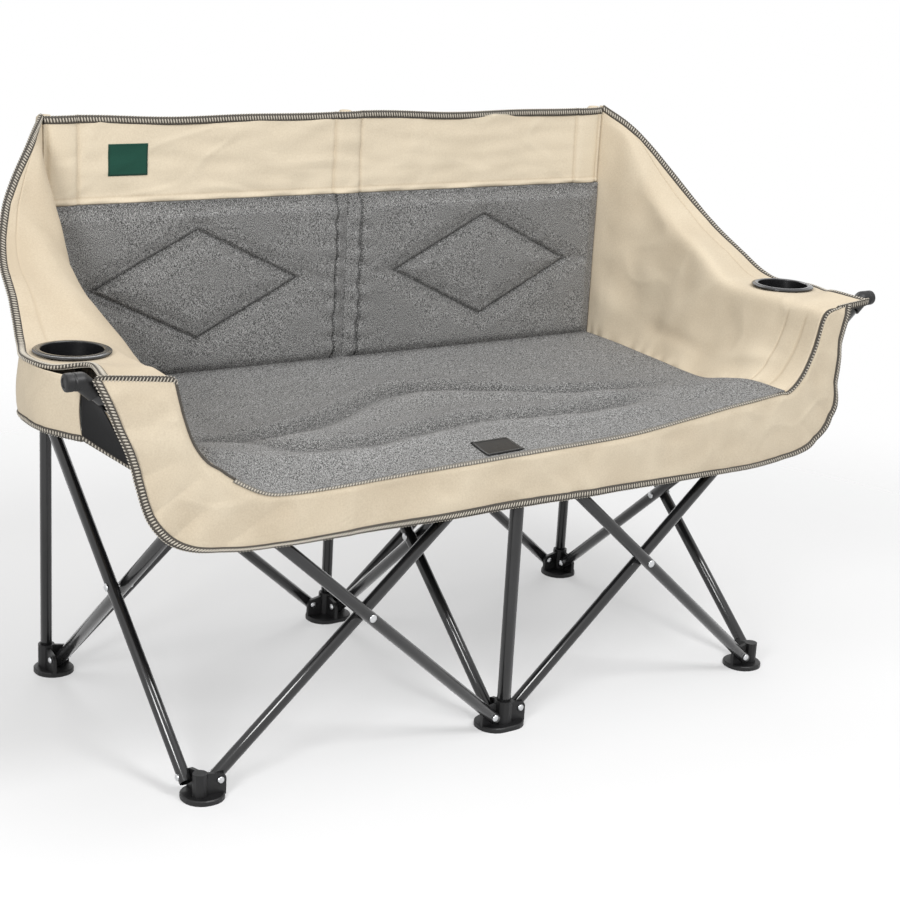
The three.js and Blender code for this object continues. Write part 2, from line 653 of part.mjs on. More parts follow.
// The back: two padded halves with a quilted diamond, in front of the posts
function backHalf(name, side) {
  const rear = rearY - tubeRadius - clearance;
  const inside = sewnGap / 2;
  const outside = cornerX + 10 - sheetThickness / 2 - sewnGap;
  const middle = (inside + outside) / 2;
  const high = backTop - bandHeight - sewnGap;
  const point = (u, v, y) => new THREE.Vector3(side * mix(inside, outside, u), y, mix(backBottom, high, v));
  const front = (u, v) => {
    const place = point(u, v, 0);
    const sideways = Math.abs(Math.abs(place.x) - middle) / diamondHalfWidth;
    const upright = Math.abs(place.z - diamondHeight) / diamondHalfHeight;
    const away = (sideways + upright - 1) * diamondHalfHeight;
    const channel = backChannel * Math.exp(-((away / channelWidth) ** 2));
    const crown = (edge) => 1 - Math.max(0, 1 - edge / 0.08) ** 2;
    const fill = crown(Math.min(u, 1 - u)) * crown(Math.min(v, 1 - v));
    place.y = rear - mix(backEdge, backThickness, fill) + channel * fill;
    return place;
  };
  addPiece(name, gridSolid(16, 12, front, (u, v) => point(u, v, rear)), greyCloth);
}

// The beige band along the top, with blind sleeves over the post tops
function backBand() {
  const low = backTop - bandHeight;
  const front = rearY - tubeRadius - clearance - bandThickness;
  const end = cornerX + 10 - sheetThickness / 2 - sewnGap;
  const sheet = new THREE.BoxGeometry(2 * end, bandThickness, bandHeight);
  let solid = toSolid(sheet.translate(0, front + bandThickness / 2, low + bandHeight / 2));
  const pocketTop = postTop + postCapHeight + 2 * clearance;
  for (const name of rearLegs) {
    const sleeve = rod('z', sleeveRadius, low, backTop, sleeveSides);
    const pocket = rod('z', tubeRadius + clearance, low - bandHeight, pocketTop, sleeveSides);
    solid = solid.add(toSolid(sleeve.translate(legs[name].x, rearY, 0)));
    solid = solid.subtract(toSolid(pocket.translate(legs[name].x, rearY, 0)));
  }
  addPiece('back_top_band', toGeometry(solid), beigeCloth);
}

// The front: a low skirt under the seat's edge and a panel up to each arm
const skirtY = frontFace - skirtThickness / 2;
const innerCurve = curveOf([
  ...[wallShare, 0.45, 0.28, 0.12, 0].map((v) => wingSurface(1, v, 1)),
  ...[0.9, 0.72, 0.4, 0].map((across) => new THREE.Vector3(across * seatCurve.getPoint(1).x, frontFace,
    seatFrontHeight + 0.8 * seatCurl * curlShare(across))),
]);
// The hem of a front panel and half the skirt: out past the corner in shares of the overhang, up in shares
// of the height from the skirt's hem to the arm, tuck in shares of the side's tuck
const hemPoints = [
  { out: 0.75, up: 0.8, tuck: 0.8 },
  { out: 0.64, up: 0.545, tuck: 0.35 },
  { out: 0.58, up: 0.33, tuck: 0 },
  { out: 0.48, up: 0.19, tuck: 0 },
  { out: 0.29, up: 0.08, tuck: 0 },
];
function hemCurve(sideTuck) {
  const top = outerCurve.getPoint(1);
  const panel = hemPoints.map(({ out, up, tuck }) => [
    cornerX + out * armOver - tuck * sideTuck, mix(skirtBottom, armHeight, up),
  ]);
  const low = [[0.94 * cornerX, mix(skirtBottom, armHeight, 0.015)], [0.5 * cornerX, skirtBottom],
    [0, skirtBottom]];
  const outline = [[top.x - sideTuck, top.z], ...panel, ...low];
  return curveOf(outline.map(([x, z]) => new THREE.Vector3(x, frontFace, z)));
}
const hems = { left: hemCurve(frontTuck.left), right: hemCurve(frontTuck.right) };
const panelShare = 0.56; // of the front, from the arm to the skirt's end

function frontSurface(s, t, side) {
  const top = innerCurve.getPoint(s);
  const hem = side < 0 ? hems.left : hems.right;
  const point = top.lerp(hem.getPoint(s), t);
  const fold = skirtFold * Math.sin(7 * Math.PI * s) * smooth(t);
  point.y = skirtY - Math.abs(fold);
  return point;
}
function armFront(name, side) {
  const end = panelShare - clearance / cell;
  const surface = (u, v) => mirrored(frontSurface(u * end, v, side), side);
  addPiece(name, sheetSolid(12, 4, surface, skirtThickness), beigeCloth);
}
function skirt() {
  const surface = (u, v) => {
    const side = u < 0.5 ? -1 : 1;
    const s = mix(1, panelShare, Math.abs(2 * u - 1));
    return mirrored(frontSurface(s, v, side), side);
  };
  addPiece('front_skirt', sheetSolid(24, 4, surface, skirtThickness), beigeCloth);
}

for (const [name, side] of [['left', -1], ['right', 1]]) {
  wing(`wing_${name}`, side);
  cupHolder(`cup_holder_${name}`, side);
  pouch(`cup_pouch_${name}`, side);
  gusset(`arm_gusset_${name}`, side);
  armFront(`arm_front_${name}`, side);
  backHalf(`back_pad_${name}`, side);
}
seatHalf('seat_rear', 0, seatFold);
seatHalf('seat_front', seatFold, 1);
backBand();
skirt();

// A blank cloth patch on the band, and a blank tag on the seat's front edge
const patch = new THREE.BoxGeometry(labelSize.x, tagThickness, labelSize.y);
const patchY = rearY - tubeRadius - clearance - bandThickness - clearance - tagThickness / 2;
addPiece('back_patch', patch.translate(-cornerX + labelInset, patchY, backTop - labelDrop), greenCloth);
const tagLift = (side) => (u, v) => {
  const across = 0.5 + (tagShift + (u - 0.5) * tagSize.x) / (2 * seatCurve.getPoint(1).x);
  const point = seatSurface(1 - v * tagSize.y / cell, across);
  point.z += 3 * clearance + side * tagThickness;
  return point;
};
addPiece('seat_tag', gridSolid(4, 3, tagLift(1), tagLift(0)), blackCloth);

// The origin sits on the floor under the middle of the whole
const extent = new THREE.Box3().setFromObject(chair);
const middle = extent.getCenter(new THREE.Vector3());
for (const mesh of chair.children) mesh.geometry.translate(-middle.x, -middle.y, -extent.min.z);

export default chair;
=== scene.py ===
import json
import math

import bpy
import numpy as np
from mathutils import Matrix, Vector, noise
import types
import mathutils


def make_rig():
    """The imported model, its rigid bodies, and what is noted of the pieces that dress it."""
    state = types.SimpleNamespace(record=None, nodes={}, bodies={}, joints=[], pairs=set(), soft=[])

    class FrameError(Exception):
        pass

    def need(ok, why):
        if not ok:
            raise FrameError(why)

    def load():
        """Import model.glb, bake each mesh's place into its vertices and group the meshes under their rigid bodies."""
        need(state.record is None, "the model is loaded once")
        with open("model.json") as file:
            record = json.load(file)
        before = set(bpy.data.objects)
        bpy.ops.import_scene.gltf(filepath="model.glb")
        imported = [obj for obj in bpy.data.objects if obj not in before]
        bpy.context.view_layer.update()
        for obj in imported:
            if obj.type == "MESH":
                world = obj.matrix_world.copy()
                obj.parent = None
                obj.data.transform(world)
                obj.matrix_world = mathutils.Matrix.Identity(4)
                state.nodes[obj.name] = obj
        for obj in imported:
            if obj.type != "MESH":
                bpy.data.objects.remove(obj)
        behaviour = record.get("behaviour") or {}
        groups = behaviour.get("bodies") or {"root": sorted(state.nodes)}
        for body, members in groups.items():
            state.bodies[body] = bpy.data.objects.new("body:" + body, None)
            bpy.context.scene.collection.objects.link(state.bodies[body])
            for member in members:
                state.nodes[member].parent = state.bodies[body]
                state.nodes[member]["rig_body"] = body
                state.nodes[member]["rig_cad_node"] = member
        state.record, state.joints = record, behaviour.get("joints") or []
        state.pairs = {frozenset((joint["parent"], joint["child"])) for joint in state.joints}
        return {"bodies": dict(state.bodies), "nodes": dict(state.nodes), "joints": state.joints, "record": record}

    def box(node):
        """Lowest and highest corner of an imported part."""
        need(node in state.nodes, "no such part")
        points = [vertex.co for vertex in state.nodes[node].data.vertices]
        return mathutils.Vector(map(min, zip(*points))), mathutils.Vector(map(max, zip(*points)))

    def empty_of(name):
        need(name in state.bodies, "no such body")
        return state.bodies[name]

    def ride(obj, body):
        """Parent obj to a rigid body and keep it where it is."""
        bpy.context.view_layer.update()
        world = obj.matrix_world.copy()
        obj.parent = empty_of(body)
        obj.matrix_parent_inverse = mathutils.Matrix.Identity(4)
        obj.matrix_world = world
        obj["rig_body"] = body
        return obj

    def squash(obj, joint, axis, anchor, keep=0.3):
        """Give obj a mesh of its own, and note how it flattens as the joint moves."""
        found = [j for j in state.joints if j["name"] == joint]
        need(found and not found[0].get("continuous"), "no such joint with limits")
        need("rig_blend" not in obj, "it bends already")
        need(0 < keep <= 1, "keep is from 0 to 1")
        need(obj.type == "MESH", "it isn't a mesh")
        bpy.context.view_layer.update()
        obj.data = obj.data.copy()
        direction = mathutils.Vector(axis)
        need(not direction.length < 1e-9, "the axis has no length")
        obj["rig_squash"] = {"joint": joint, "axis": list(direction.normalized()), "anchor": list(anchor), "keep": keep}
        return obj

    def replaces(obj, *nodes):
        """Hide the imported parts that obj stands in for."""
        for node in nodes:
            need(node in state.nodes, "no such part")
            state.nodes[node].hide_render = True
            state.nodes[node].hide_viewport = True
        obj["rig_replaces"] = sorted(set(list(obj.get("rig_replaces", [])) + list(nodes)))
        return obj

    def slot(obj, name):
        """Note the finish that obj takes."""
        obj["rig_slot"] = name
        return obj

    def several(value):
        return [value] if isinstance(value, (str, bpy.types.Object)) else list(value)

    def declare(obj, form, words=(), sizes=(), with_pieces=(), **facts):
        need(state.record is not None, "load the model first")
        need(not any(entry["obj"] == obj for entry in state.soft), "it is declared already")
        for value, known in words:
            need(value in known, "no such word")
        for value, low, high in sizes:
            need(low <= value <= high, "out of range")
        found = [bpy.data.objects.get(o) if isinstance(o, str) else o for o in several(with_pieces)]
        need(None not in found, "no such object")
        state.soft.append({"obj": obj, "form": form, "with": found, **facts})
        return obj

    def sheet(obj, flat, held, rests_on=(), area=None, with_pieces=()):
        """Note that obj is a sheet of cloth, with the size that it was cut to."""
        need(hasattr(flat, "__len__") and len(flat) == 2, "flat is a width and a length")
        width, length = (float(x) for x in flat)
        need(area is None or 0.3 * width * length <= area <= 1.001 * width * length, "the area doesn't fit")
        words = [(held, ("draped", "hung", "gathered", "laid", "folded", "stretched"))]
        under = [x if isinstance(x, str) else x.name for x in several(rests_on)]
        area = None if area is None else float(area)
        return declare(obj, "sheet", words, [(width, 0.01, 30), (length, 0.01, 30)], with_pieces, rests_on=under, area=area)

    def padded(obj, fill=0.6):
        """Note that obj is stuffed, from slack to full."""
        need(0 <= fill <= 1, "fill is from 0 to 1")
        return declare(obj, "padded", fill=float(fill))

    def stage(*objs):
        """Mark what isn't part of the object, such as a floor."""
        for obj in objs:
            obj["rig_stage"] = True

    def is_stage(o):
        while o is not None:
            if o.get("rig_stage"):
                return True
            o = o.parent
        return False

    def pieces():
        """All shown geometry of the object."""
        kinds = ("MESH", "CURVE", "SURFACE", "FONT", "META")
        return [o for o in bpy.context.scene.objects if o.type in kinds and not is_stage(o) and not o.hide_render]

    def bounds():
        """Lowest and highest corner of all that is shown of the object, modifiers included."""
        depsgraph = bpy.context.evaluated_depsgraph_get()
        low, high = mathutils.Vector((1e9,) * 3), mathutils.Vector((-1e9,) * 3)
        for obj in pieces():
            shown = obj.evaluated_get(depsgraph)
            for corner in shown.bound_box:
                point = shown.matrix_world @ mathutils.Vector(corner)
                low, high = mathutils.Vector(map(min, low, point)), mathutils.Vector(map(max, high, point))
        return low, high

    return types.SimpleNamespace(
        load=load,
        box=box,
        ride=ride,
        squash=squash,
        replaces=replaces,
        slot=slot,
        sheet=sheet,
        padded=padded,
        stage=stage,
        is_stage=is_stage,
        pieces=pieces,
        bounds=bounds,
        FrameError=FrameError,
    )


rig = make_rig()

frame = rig.load()
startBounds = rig.bounds()
nodes = frame["nodes"]
print("frame loaded", len(nodes))


def boxOf(name):
    return [np.round(np.array(corner, float), 4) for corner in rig.box(name)]


# lengths are metres in the CAD frame, and the grid of the legs is read from its posts
postLow, postHigh = boxOf("rear_right_post")
cornerX, rearY = ((postLow + postHigh) / 2)[:2]
tubeRadius = (postHigh - postLow)[0] / 2
frontY = sum(boxOf("front_center_post"))[1] / 2
depth = rearY - frontY
gridShift = (rearY + frontY) / 2
frontFace = frontY - 0.024  # where the front cloth hangs
bandLow, backTop = (corner[2] for corner in boxOf("back_top_band"))
armHeight = 0.637
shoulder = backTop - armHeight
sideWords = {-1: "left", 1: "right"}


class Sock:
    # wraps a node socket so that shader sums read as arithmetic
    def __init__(self, tree, socket):
        self.tree = tree
        self.socket = socket

    def math(self, operation, other):
        return addNode(self.tree, "ShaderNodeMath", 0, {"operation": operation}, (self, other))

    def __add__(self, other):
        return self.math("ADD", other)

    def __sub__(self, other):
        return self.math("SUBTRACT", other)

    def __mul__(self, other):
        return self.math("MULTIPLY", other)


def feed(tree, socket, value):
    if isinstance(value, Sock):
        tree.links.new(value.socket, socket)
    else:
        socket.default_value = value


def addNode(tree, kind, output=0, settings=None, firstSockets=(), **sockets):
    # one node: its settings first, then its first sockets in order and the others by name
    node = tree.nodes.new(kind)
    for key, value in (settings or {}).items():
        setattr(node, key, value)
    for place, value in enumerate(firstSockets):
        feed(tree, node.inputs[place], value)
    for key, value in sockets.items():
        feed(tree, node.inputs[key.replace("_", " ")], value)
    return Sock(tree, node.outputs[output]) if node.outputs else None


def mixColor(tree, factor, dark, light):
    mix = addNode(tree, "ShaderNodeMix", 2, {"data_type": "RGBA"}, Factor=factor)
    for place, color in ((6, dark), (7, light)):  # the colour sockets, after those for numbers and vectors
        feed(tree, mix.socket.node.inputs[place], (*color, 1))
    return mix


def newMaterial(name, **constants):
    material = bpy.data.materials.new(name)
    material.use_nodes = True
    shader = material.node_tree.nodes["Principled BSDF"]
    for key, value in constants.items():
        shader.inputs[key.replace("_", " ")].default_value = value
    return material, material.node_tree, shader


def clothMaterial(name, dark, light, scale, bump, speckle, drift=0.5, grain=(1.0, 1.0, 1.0)):
    # two shades mixed by a fine noise drawn out along the cloth, with the same weave in the bump, and painted shade and
    # light from the crease attribute laid into the colour
    material, tree, shader = newMaterial(name, Roughness=0.92, Sheen_Weight=0.05, Specular_IOR_Level=0.25)
    coords = addNode(tree, "ShaderNodeTexCoord", "Object")
    run = addNode(tree, "ShaderNodeMapping", Vector=coords, Scale=grain)
    fine = addNode(tree, "ShaderNodeTexNoise", Vector=run, Scale=scale, Detail=1.0, Roughness=0.6)
    broad = addNode(tree, "ShaderNodeTexNoise", Vector=coords, Scale=9.0, Detail=3.0)
    # the crease attribute is painted shade taken off the colour, and painted light where it is below nought
    crease = addNode(tree, "ShaderNodeAttribute", "Fac", {"attribute_name": "crease"})
    shade = (fine - 0.5) * speckle + 0.5 + (broad - 0.5) * drift - crease
    relief = addNode(tree, "ShaderNodeBump", Height=fine, Strength=bump, Distance=0.0006)
    feed(tree, shader.inputs["Base Color"], mixColor(tree, shade, dark, light))
    feed(tree, shader.inputs["Normal"], relief)
    return material


def hardMaterial(name, color, roughness, grain, bump, wear=0.3, metallic=0.0, coat=0.0, specular=0.5):
    # paint, moulded plastic or metal: a fine grain in the bump, and a drift in colour and gloss
    material, tree, shader = newMaterial(name, Metallic=metallic, Coat_Weight=coat, Coat_Roughness=0.1,
                                         Specular_IOR_Level=specular)
    coords = addNode(tree, "ShaderNodeTexCoord", "Object")
    fine = addNode(tree, "ShaderNodeTexNoise", Vector=coords, Scale=grain, Detail=2.0)
    broad = addNode(tree, "ShaderNodeTexNoise", Vector=coords, Scale=38.0, Detail=4.0)
    gloss = (broad - 0.5) * (0.5 * roughness) + (fine - 0.5) * (0.3 * roughness) + roughness
    relief = addNode(tree, "ShaderNodeBump", Height=fine, Strength=bump, Distance=0.0003)
    worn, fresh = ([share * c for c in color] for share in (1 - wear, 1 + wear))
    feed(tree, shader.inputs["Base Color"], mixColor(tree, broad, worn, fresh))
    feed(tree, shader.inputs["Roughness"], gloss)
    feed(tree, shader.inputs["Normal"], relief)
    return material


clothFinishes = {
    "beigeCloth": {"dark": (0.565, 0.472, 0.345), "light": (0.735, 0.643, 0.495),
                   "scale": 420.0, "bump": 0.25, "speckle": 0.8},
    "greyCloth": {"dark": (0.05, 0.05, 0.049), "light": (0.385, 0.383, 0.377), "scale": 980.0, "bump": 0.5,
                  "speckle": 4.0, "drift": 0.12, "grain": (1.0, 0.3, 0.6)},
    "bindingCloth": {"dark": (0.04, 0.036, 0.031), "light": (0.125, 0.113, 0.097),
                     "scale": 1200.0, "bump": 0.4, "speckle": 1.5},
    "paleBinding": {"dark": (0.13, 0.122, 0.108), "light": (0.27, 0.254, 0.225),
                    "scale": 1200.0, "bump": 0.4, "speckle": 1.5},
    "blackCloth": {"dark": (0.008, 0.008, 0.008), "light": (0.02, 0.02, 0.021),
                   "scale": 900.0, "bump": 0.4, "speckle": 1.0},
    "greenCloth": {"dark": (0.008, 0.05, 0.034), "light": (0.016, 0.078, 0.054),
                   "scale": 1500.0, "bump": 0.4, "speckle": 1.0},
    "creamThread": {"dark": (0.47, 0.43, 0.365), "light": (0.64, 0.595, 0.51),
                    "scale": 1800.0, "bump": 0.3, "speckle": 1.5},
    "greyThread": {"dark": (0.2, 0.195, 0.185), "light": (0.32, 0.315, 0.3),
                   "scale": 1800.0, "bump": 0.3, "speckle": 1.5},
}
hardFinishes = {
    "tubePaint": {"color": (0.010, 0.010, 0.0105), "roughness": 0.36, "grain": 900.0, "bump": 0.06,
                  "coat": 1.0, "specular": 0.15},
    "blackPlastic": {"color": (0.009, 0.009, 0.0095), "roughness": 0.45, "grain": 1400.0, "bump": 0.25,
                     "specular": 0.4},
    "cupPlastic": {"color": (0.009, 0.009, 0.01), "roughness": 0.24, "grain": 1400.0, "bump": 0.1,
                   "coat": 0.4},
    "tagFinish": {"color": (0.006, 0.006, 0.0062), "roughness": 0.3, "grain": 1500.0, "bump": 0.3,
                  "specular": 0.4},
    "steelRivet": {"color": (0.62, 0.63, 0.64), "roughness": 0.3, "grain": 1200.0, "bump": 0.15, "wear": 0.12,
                   "metallic": 1.0},
}
finishes = {name: clothMaterial(name, **finish) for name, finish in clothFinishes.items()}
finishes.update({name: hardMaterial(name, **finish) for name, finish in hardFinishes.items()})
print("materials ready")


def addObject(name, mesh, finish=None):
    if finish:
        mesh.materials.append(finishes[finish])
    piece = bpy.data.objects.new(name, mesh)
    bpy.context.scene.collection.objects.link(piece)
    return piece


def standFor(piece, node, slot):
    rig.replaces(piece, node)
    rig.slot(piece, slot)


def fasten(piece, body, slot):
    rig.ride(piece, body)
    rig.slot(piece, slot)


def polyMesh(name, points, faces):
    mesh = bpy.data.meshes.new(name)
    mesh.from_pydata([tuple(p) for p in points], [], [tuple(f) for f in faces])
    mesh.validate()
    mesh.polygons.foreach_set("use_smooth", [True] * len(mesh.polygons))
    mesh.update()
    return mesh


def outward(points, faces):
    # flips the faces of a closed mesh whose volume comes out negative
    volume = 0.0
    for face in faces:
        a = points[face[0]]
        for k in range(1, len(face) - 1):
            volume += np.dot(a, np.cross(points[face[k]], points[face[k + 1]]))
    return faces if volume > 0 else [tuple(reversed(f)) for f in faces]


def unit(vectors):
    return vectors / np.maximum(np.linalg.norm(vectors, axis=-1, keepdims=True), 1e-12)


def gridNormals(points):
    return unit(np.cross(np.gradient(points, axis=1), np.gradient(points, axis=0)))


def setNormals(mesh, given, isBack):
    # the rim keeps its own edge, so only the two faces take the given normals
    custom = np.array([c.vector for c in mesh.corner_normals])
    corner = np.array([loop.vertex_index for loop in mesh.loops])
    isRim = np.zeros(len(mesh.loops), bool)
    for polygon in mesh.polygons:
        behind = isBack[list(polygon.vertices)]
        if behind.any() and not behind.all():
            isRim[list(polygon.loop_indices)] = True
    sign = np.sign((custom * given[corner]).sum(1, keepdims=True))
    custom = np.where(isRim[:, None], custom, given[corner] * sign)
    mesh.normals_split_custom_set([tuple(v) for v in custom])


def shell(name, front, back, finish, keep=None, normals=None, lining=None, crease=None):
    # a closed cloth from two faces of one grid; quads not kept leave a hole, and the crease values are painted shade in
    # the cloth's colour, painted light where below nought
    rows, columns = front.shape[:2]
    count = rows * columns
    index = np.arange(count).reshape(rows, columns)
    if keep is None:
        keep = np.ones((rows - 1, columns - 1), bool)
    faces = []
    edges = {}
    for j, i in zip(*np.nonzero(keep)):
        quad = (index[j, i], index[j, i + 1], index[j + 1, i + 1], index[j + 1, i])
        faces += [quad, tuple(count + k for k in reversed(quad))]
        edges.update(dict.fromkeys(zip(quad, quad[1:] + quad[:1])))
    faces += [(b, a, count + a, count + b) for a, b in edges if (b, a) not in edges]
    used = sorted({k for face in faces for k in face})
    place = {k: n for n, k in enumerate(used)}
    points = np.concatenate([front.reshape(-1, 3), back.reshape(-1, 3)])[used]
    mesh = polyMesh(name, points, outward(points, [tuple(place[k] for k in face) for face in faces]))
    isBack = np.array(used) >= count
    if normals is not None:
        flat = normals.reshape(-1, 3)
        setNormals(mesh, np.concatenate([flat, -flat])[used], isBack)
    # painted shade carried on the points as the crease attribute
    if crease is not None:
        shade = mesh.attributes.new("crease", "FLOAT", "POINT")
        shade.data.foreach_set("value", np.tile(crease.ravel(), 2)[used])
    piece = addObject(name, mesh, finish)
    if lining:
        mesh.materials.append(finishes[lining])
        for polygon in mesh.polygons:
            polygon.material_index = int(isBack[list(polygon.vertices)].all())
    return piece


def thickShell(name, points, normal, thickness, finish, **options):
    half = normal * thickness / 2
    return shell(name, points + half, points - half, finish, **options)


def spline(points):
    # centripetal Catmull-Rom through points, with the parameter even over its spans
    knots = np.asarray(points, float)
    full = np.vstack([2 * knots[0] - knots[1], knots, 2 * knots[-1] - knots[-2]])
    spans = len(knots) - 1

    def at(t):
        place = np.clip(np.asarray(t, float), 0, 1) * spans
        k = np.minimum(place.astype(int), spans - 1)
        w = (place - k)[..., None]
        p0, p1, p2, p3 = (full[k + n] for n in range(4))
        gaps = (((b - a) ** 2).sum(-1, keepdims=True) ** 0.25 for a, b in ((p0, p1), (p1, p2), (p2, p3)))
        d0, d1, d2 = (np.maximum(gap, 1e-6) for gap in gaps)
        t1 = ((p1 - p0) / d0 - (p2 - p0) / (d0 + d1) + (p2 - p1) / d1) * d1
        t2 = ((p2 - p1) / d1 - (p3 - p1) / (d1 + d2) + (p3 - p2) / d2) * d1
        return (p1 + t1 * w + (-3 * p1 + 3 * p2 - 2 * t1 - t2) * w ** 2
                + (2 * p1 - 2 * p2 + t1 + t2) * w ** 3)
    return at


def mixed(a, b, t):
    return a + (b - a) * t


def smooth(t):
    t = np.clip(t, 0, 1)
    return t * t * (3 - 2 * t)


def bell(distance, width):
    return np.exp(-(distance / width) ** 2)


def soften(points, times):
    # evens out a grid across its rows, with its first and last row held
    for _ in range(times):
        points[1:-1] += 0.5 * (0.5 * (points[:-2] + points[2:]) - points[1:-1])
    return points


def ripple(points, scale, seed):
    flat = points.reshape(-1, 3) * scale + seed
    return np.array([noise.noise(Vector(p)) for p in flat]).reshape(points.shape[:-1])


def crumple(points, scale, seed):
    # sharp little folds of crumpled cloth, along the zero lines of a bent noise, about a middle level
    bend = np.stack([ripple(points, 0.6 * scale, seed + step) for step in (11.0, 17.0, 23.0)], -1)
    return 0.65 - np.minimum(1, 6 * np.abs(ripple(points + bend * 0.3 / scale, scale, seed)))


def clothRelief(points, waves, folds=None):
    # heights of soft waves and of crumpled folds, each given by its height, scale and seed
    height = sum(rise * ripple(points, scale, seed) for rise, scale, seed in waves)
    if folds:
        rise, scale, seed = folds
        height = height + rise * crumple(points, scale, seed)
    return height


def gridOf(columns, rows):
    return np.meshgrid(np.linspace(0, 1, columns + 1), np.linspace(0, 1, rows + 1))


def edgeFade(u, v, width=0.08):
    return smooth(np.minimum(np.minimum(u, 1 - u), np.minimum(v, 1 - v)) / width)


def ringFaces(rings, sides):
    # quads between rings of points that follow one another, and the two ends
    around = [(s, (s + 1) % sides) for s in range(sides)]
    quads = [(k + s, k + n, k + sides + n, k + sides + s)
             for k in range(0, (rings - 1) * sides, sides) for s, n in around]
    return quads, tuple(reversed(range(sides))), tuple((rings - 1) * sides + s for s in range(sides))


def sweep(name, centre, across, up, width, height, finish, sides=10):
    # a flattened round strip along a line, with closed ends
    turn = np.linspace(0, 2 * math.pi, sides, endpoint=False)
    cosine, sine = ((np.sign(w) * np.abs(w) ** 0.7)[:, None] for w in (np.cos(turn), np.sin(turn)))
    points = centre[:, None] + cosine * across[:, None] * width / 2 + sine * up[:, None] * height / 2
    points = points.reshape(-1, 3)
    quads, first, last = ringFaces(len(centre), sides)
    return addObject(name, polyMesh(name, points, outward(points, quads + [first, last])), finish)


def lathe(name, profile, origin, axis, finish, sides=48, sharp=35):
    # turns radii and reaches about an axis, with the ends closed where the radius is nought
    axis = unit(np.asarray(axis, float))
    side = unit(np.cross(axis, (0.31, 0.9, 0.12)))
    turn = np.linspace(0, 2 * math.pi, sides, endpoint=False)[:, None]
    ring = np.cos(turn) * side + np.sin(turn) * np.cross(axis, side)
    points = np.concatenate([np.asarray(origin) + axis * reach + ring * max(radius, 1e-5)
                             for radius, reach in profile])
    faces, first, last = ringFaces(len(profile), sides)
    for (radius, _), end in ((profile[0], first), (profile[-1], last)):
        if radius == 0:
            faces.append(end)
    mesh = polyMesh(name, points, outward(points - points.mean(0), faces))
    piece = addObject(name, mesh, finish)
    mesh.set_sharp_from_angle(angle=math.radians(sharp))
    return piece


def evenly(line, step):
    # lengths along a line, and places on it at an even step
    length = np.concatenate([[0], np.cumsum(np.linalg.norm(np.diff(line, axis=0), axis=1))])
    count = max(2, int(length[-1] / step))
    return length, (np.arange(count) + 0.5) * length[-1] / count


def along(length, places, values):
    return np.stack([np.interp(places, length, values[:, k]) for k in range(3)], 1)


def makeScatterTree():
    # a tree that puts one small round form at every point, turned as the point says
    tree = bpy.data.node_groups.new("scatter", "GeometryNodeTree")
    tree.interface.new_socket("Geometry", in_out="OUTPUT", socket_type="NodeSocketGeometry")
    kinds = {"Places": "Geometry", "Size": "Vector", "Segments": "Int", "Rings": "Int", "Finish": "Material"}
    sockets = {}
    for key, kind in kinds.items():
        socket = tree.interface.new_socket(key, in_out="INPUT", socket_type="NodeSocket" + kind)
        sockets[key] = socket.identifier
    entry = tree.nodes.new("NodeGroupInput")
    given = {key: Sock(tree, entry.outputs[key]) for key in kinds}
    ball = addNode(tree, "GeometryNodeMeshUVSphere", Segments=given["Segments"], Rings=given["Rings"],
                   Radius=0.5)
    shaped = addNode(tree, "GeometryNodeTransform", Geometry=ball, Scale=given["Size"])
    angle = addNode(tree, "GeometryNodeInputNamedAttribute", 0, {"data_type": "FLOAT_VECTOR"}, Name="turn")
    copies = addNode(tree, "GeometryNodeInstanceOnPoints", Points=given["Places"], Instance=shaped,
                     Rotation=angle)
    solid = addNode(tree, "GeometryNodeRealizeInstances", Geometry=copies)
    rounded = addNode(tree, "GeometryNodeSetShadeSmooth", Geometry=solid)
    painted = addNode(tree, "GeometryNodeSetMaterial", Geometry=rounded, Material=given["Finish"])
    addNode(tree, "NodeGroupOutput", firstSockets=[painted])
    return tree, sockets


scatterTree, scatterSockets = makeScatterTree()


def scatter(name, places, forward, up, size, finish, detail=(6, 4)):
    # stitches or rivet heads by the scatter tree, then kept as a mesh
    mesh = bpy.data.meshes.new(name)
    mesh.from_pydata([tuple(p) for p in places], [], [])
    turn = mesh.attributes.new("turn", "FLOAT_VECTOR", "POINT")
    forward, up = (unit(np.broadcast_to(v, (len(places), 3))) for v in (forward, up))
    angles = []
    for f, u in zip(forward, up):
        side = unit(np.cross(u, f))
        angles.extend(Matrix((f, side, u)).transposed().to_euler())
    turn.data.foreach_set("vector", angles)
    carrier = addObject(name + "Carrier", mesh)
    modifier = carrier.modifiers.new("copies", "NODES")
    modifier.node_group = scatterTree
    values = {"Size": size, "Segments": detail[0], "Rings": detail[1], "Finish": finishes[finish]}
    for key, value in values.items():
        modifier[scatterSockets[key]] = value
    graph = bpy.context.evaluated_depsgraph_get()
    made = bpy.data.meshes.new_from_object(carrier.evaluated_get(graph))
    bpy.data.objects.remove(carrier)
    return addObject(name, made)


# the bound edge of a cloth: its stitches' place and length are shares of the width, the whips' of the height
edgeTrim = {"width": 0.0128, "height": 0.0062, "lap": 0.0018, "step": 0.0049, "thread": (0.0026, 0.0019),
            "stitchPlace": 0.36, "stitchLength": 0.66, "lean": 0.28, "whipLength": 0.86, "whipLean": 0.2}


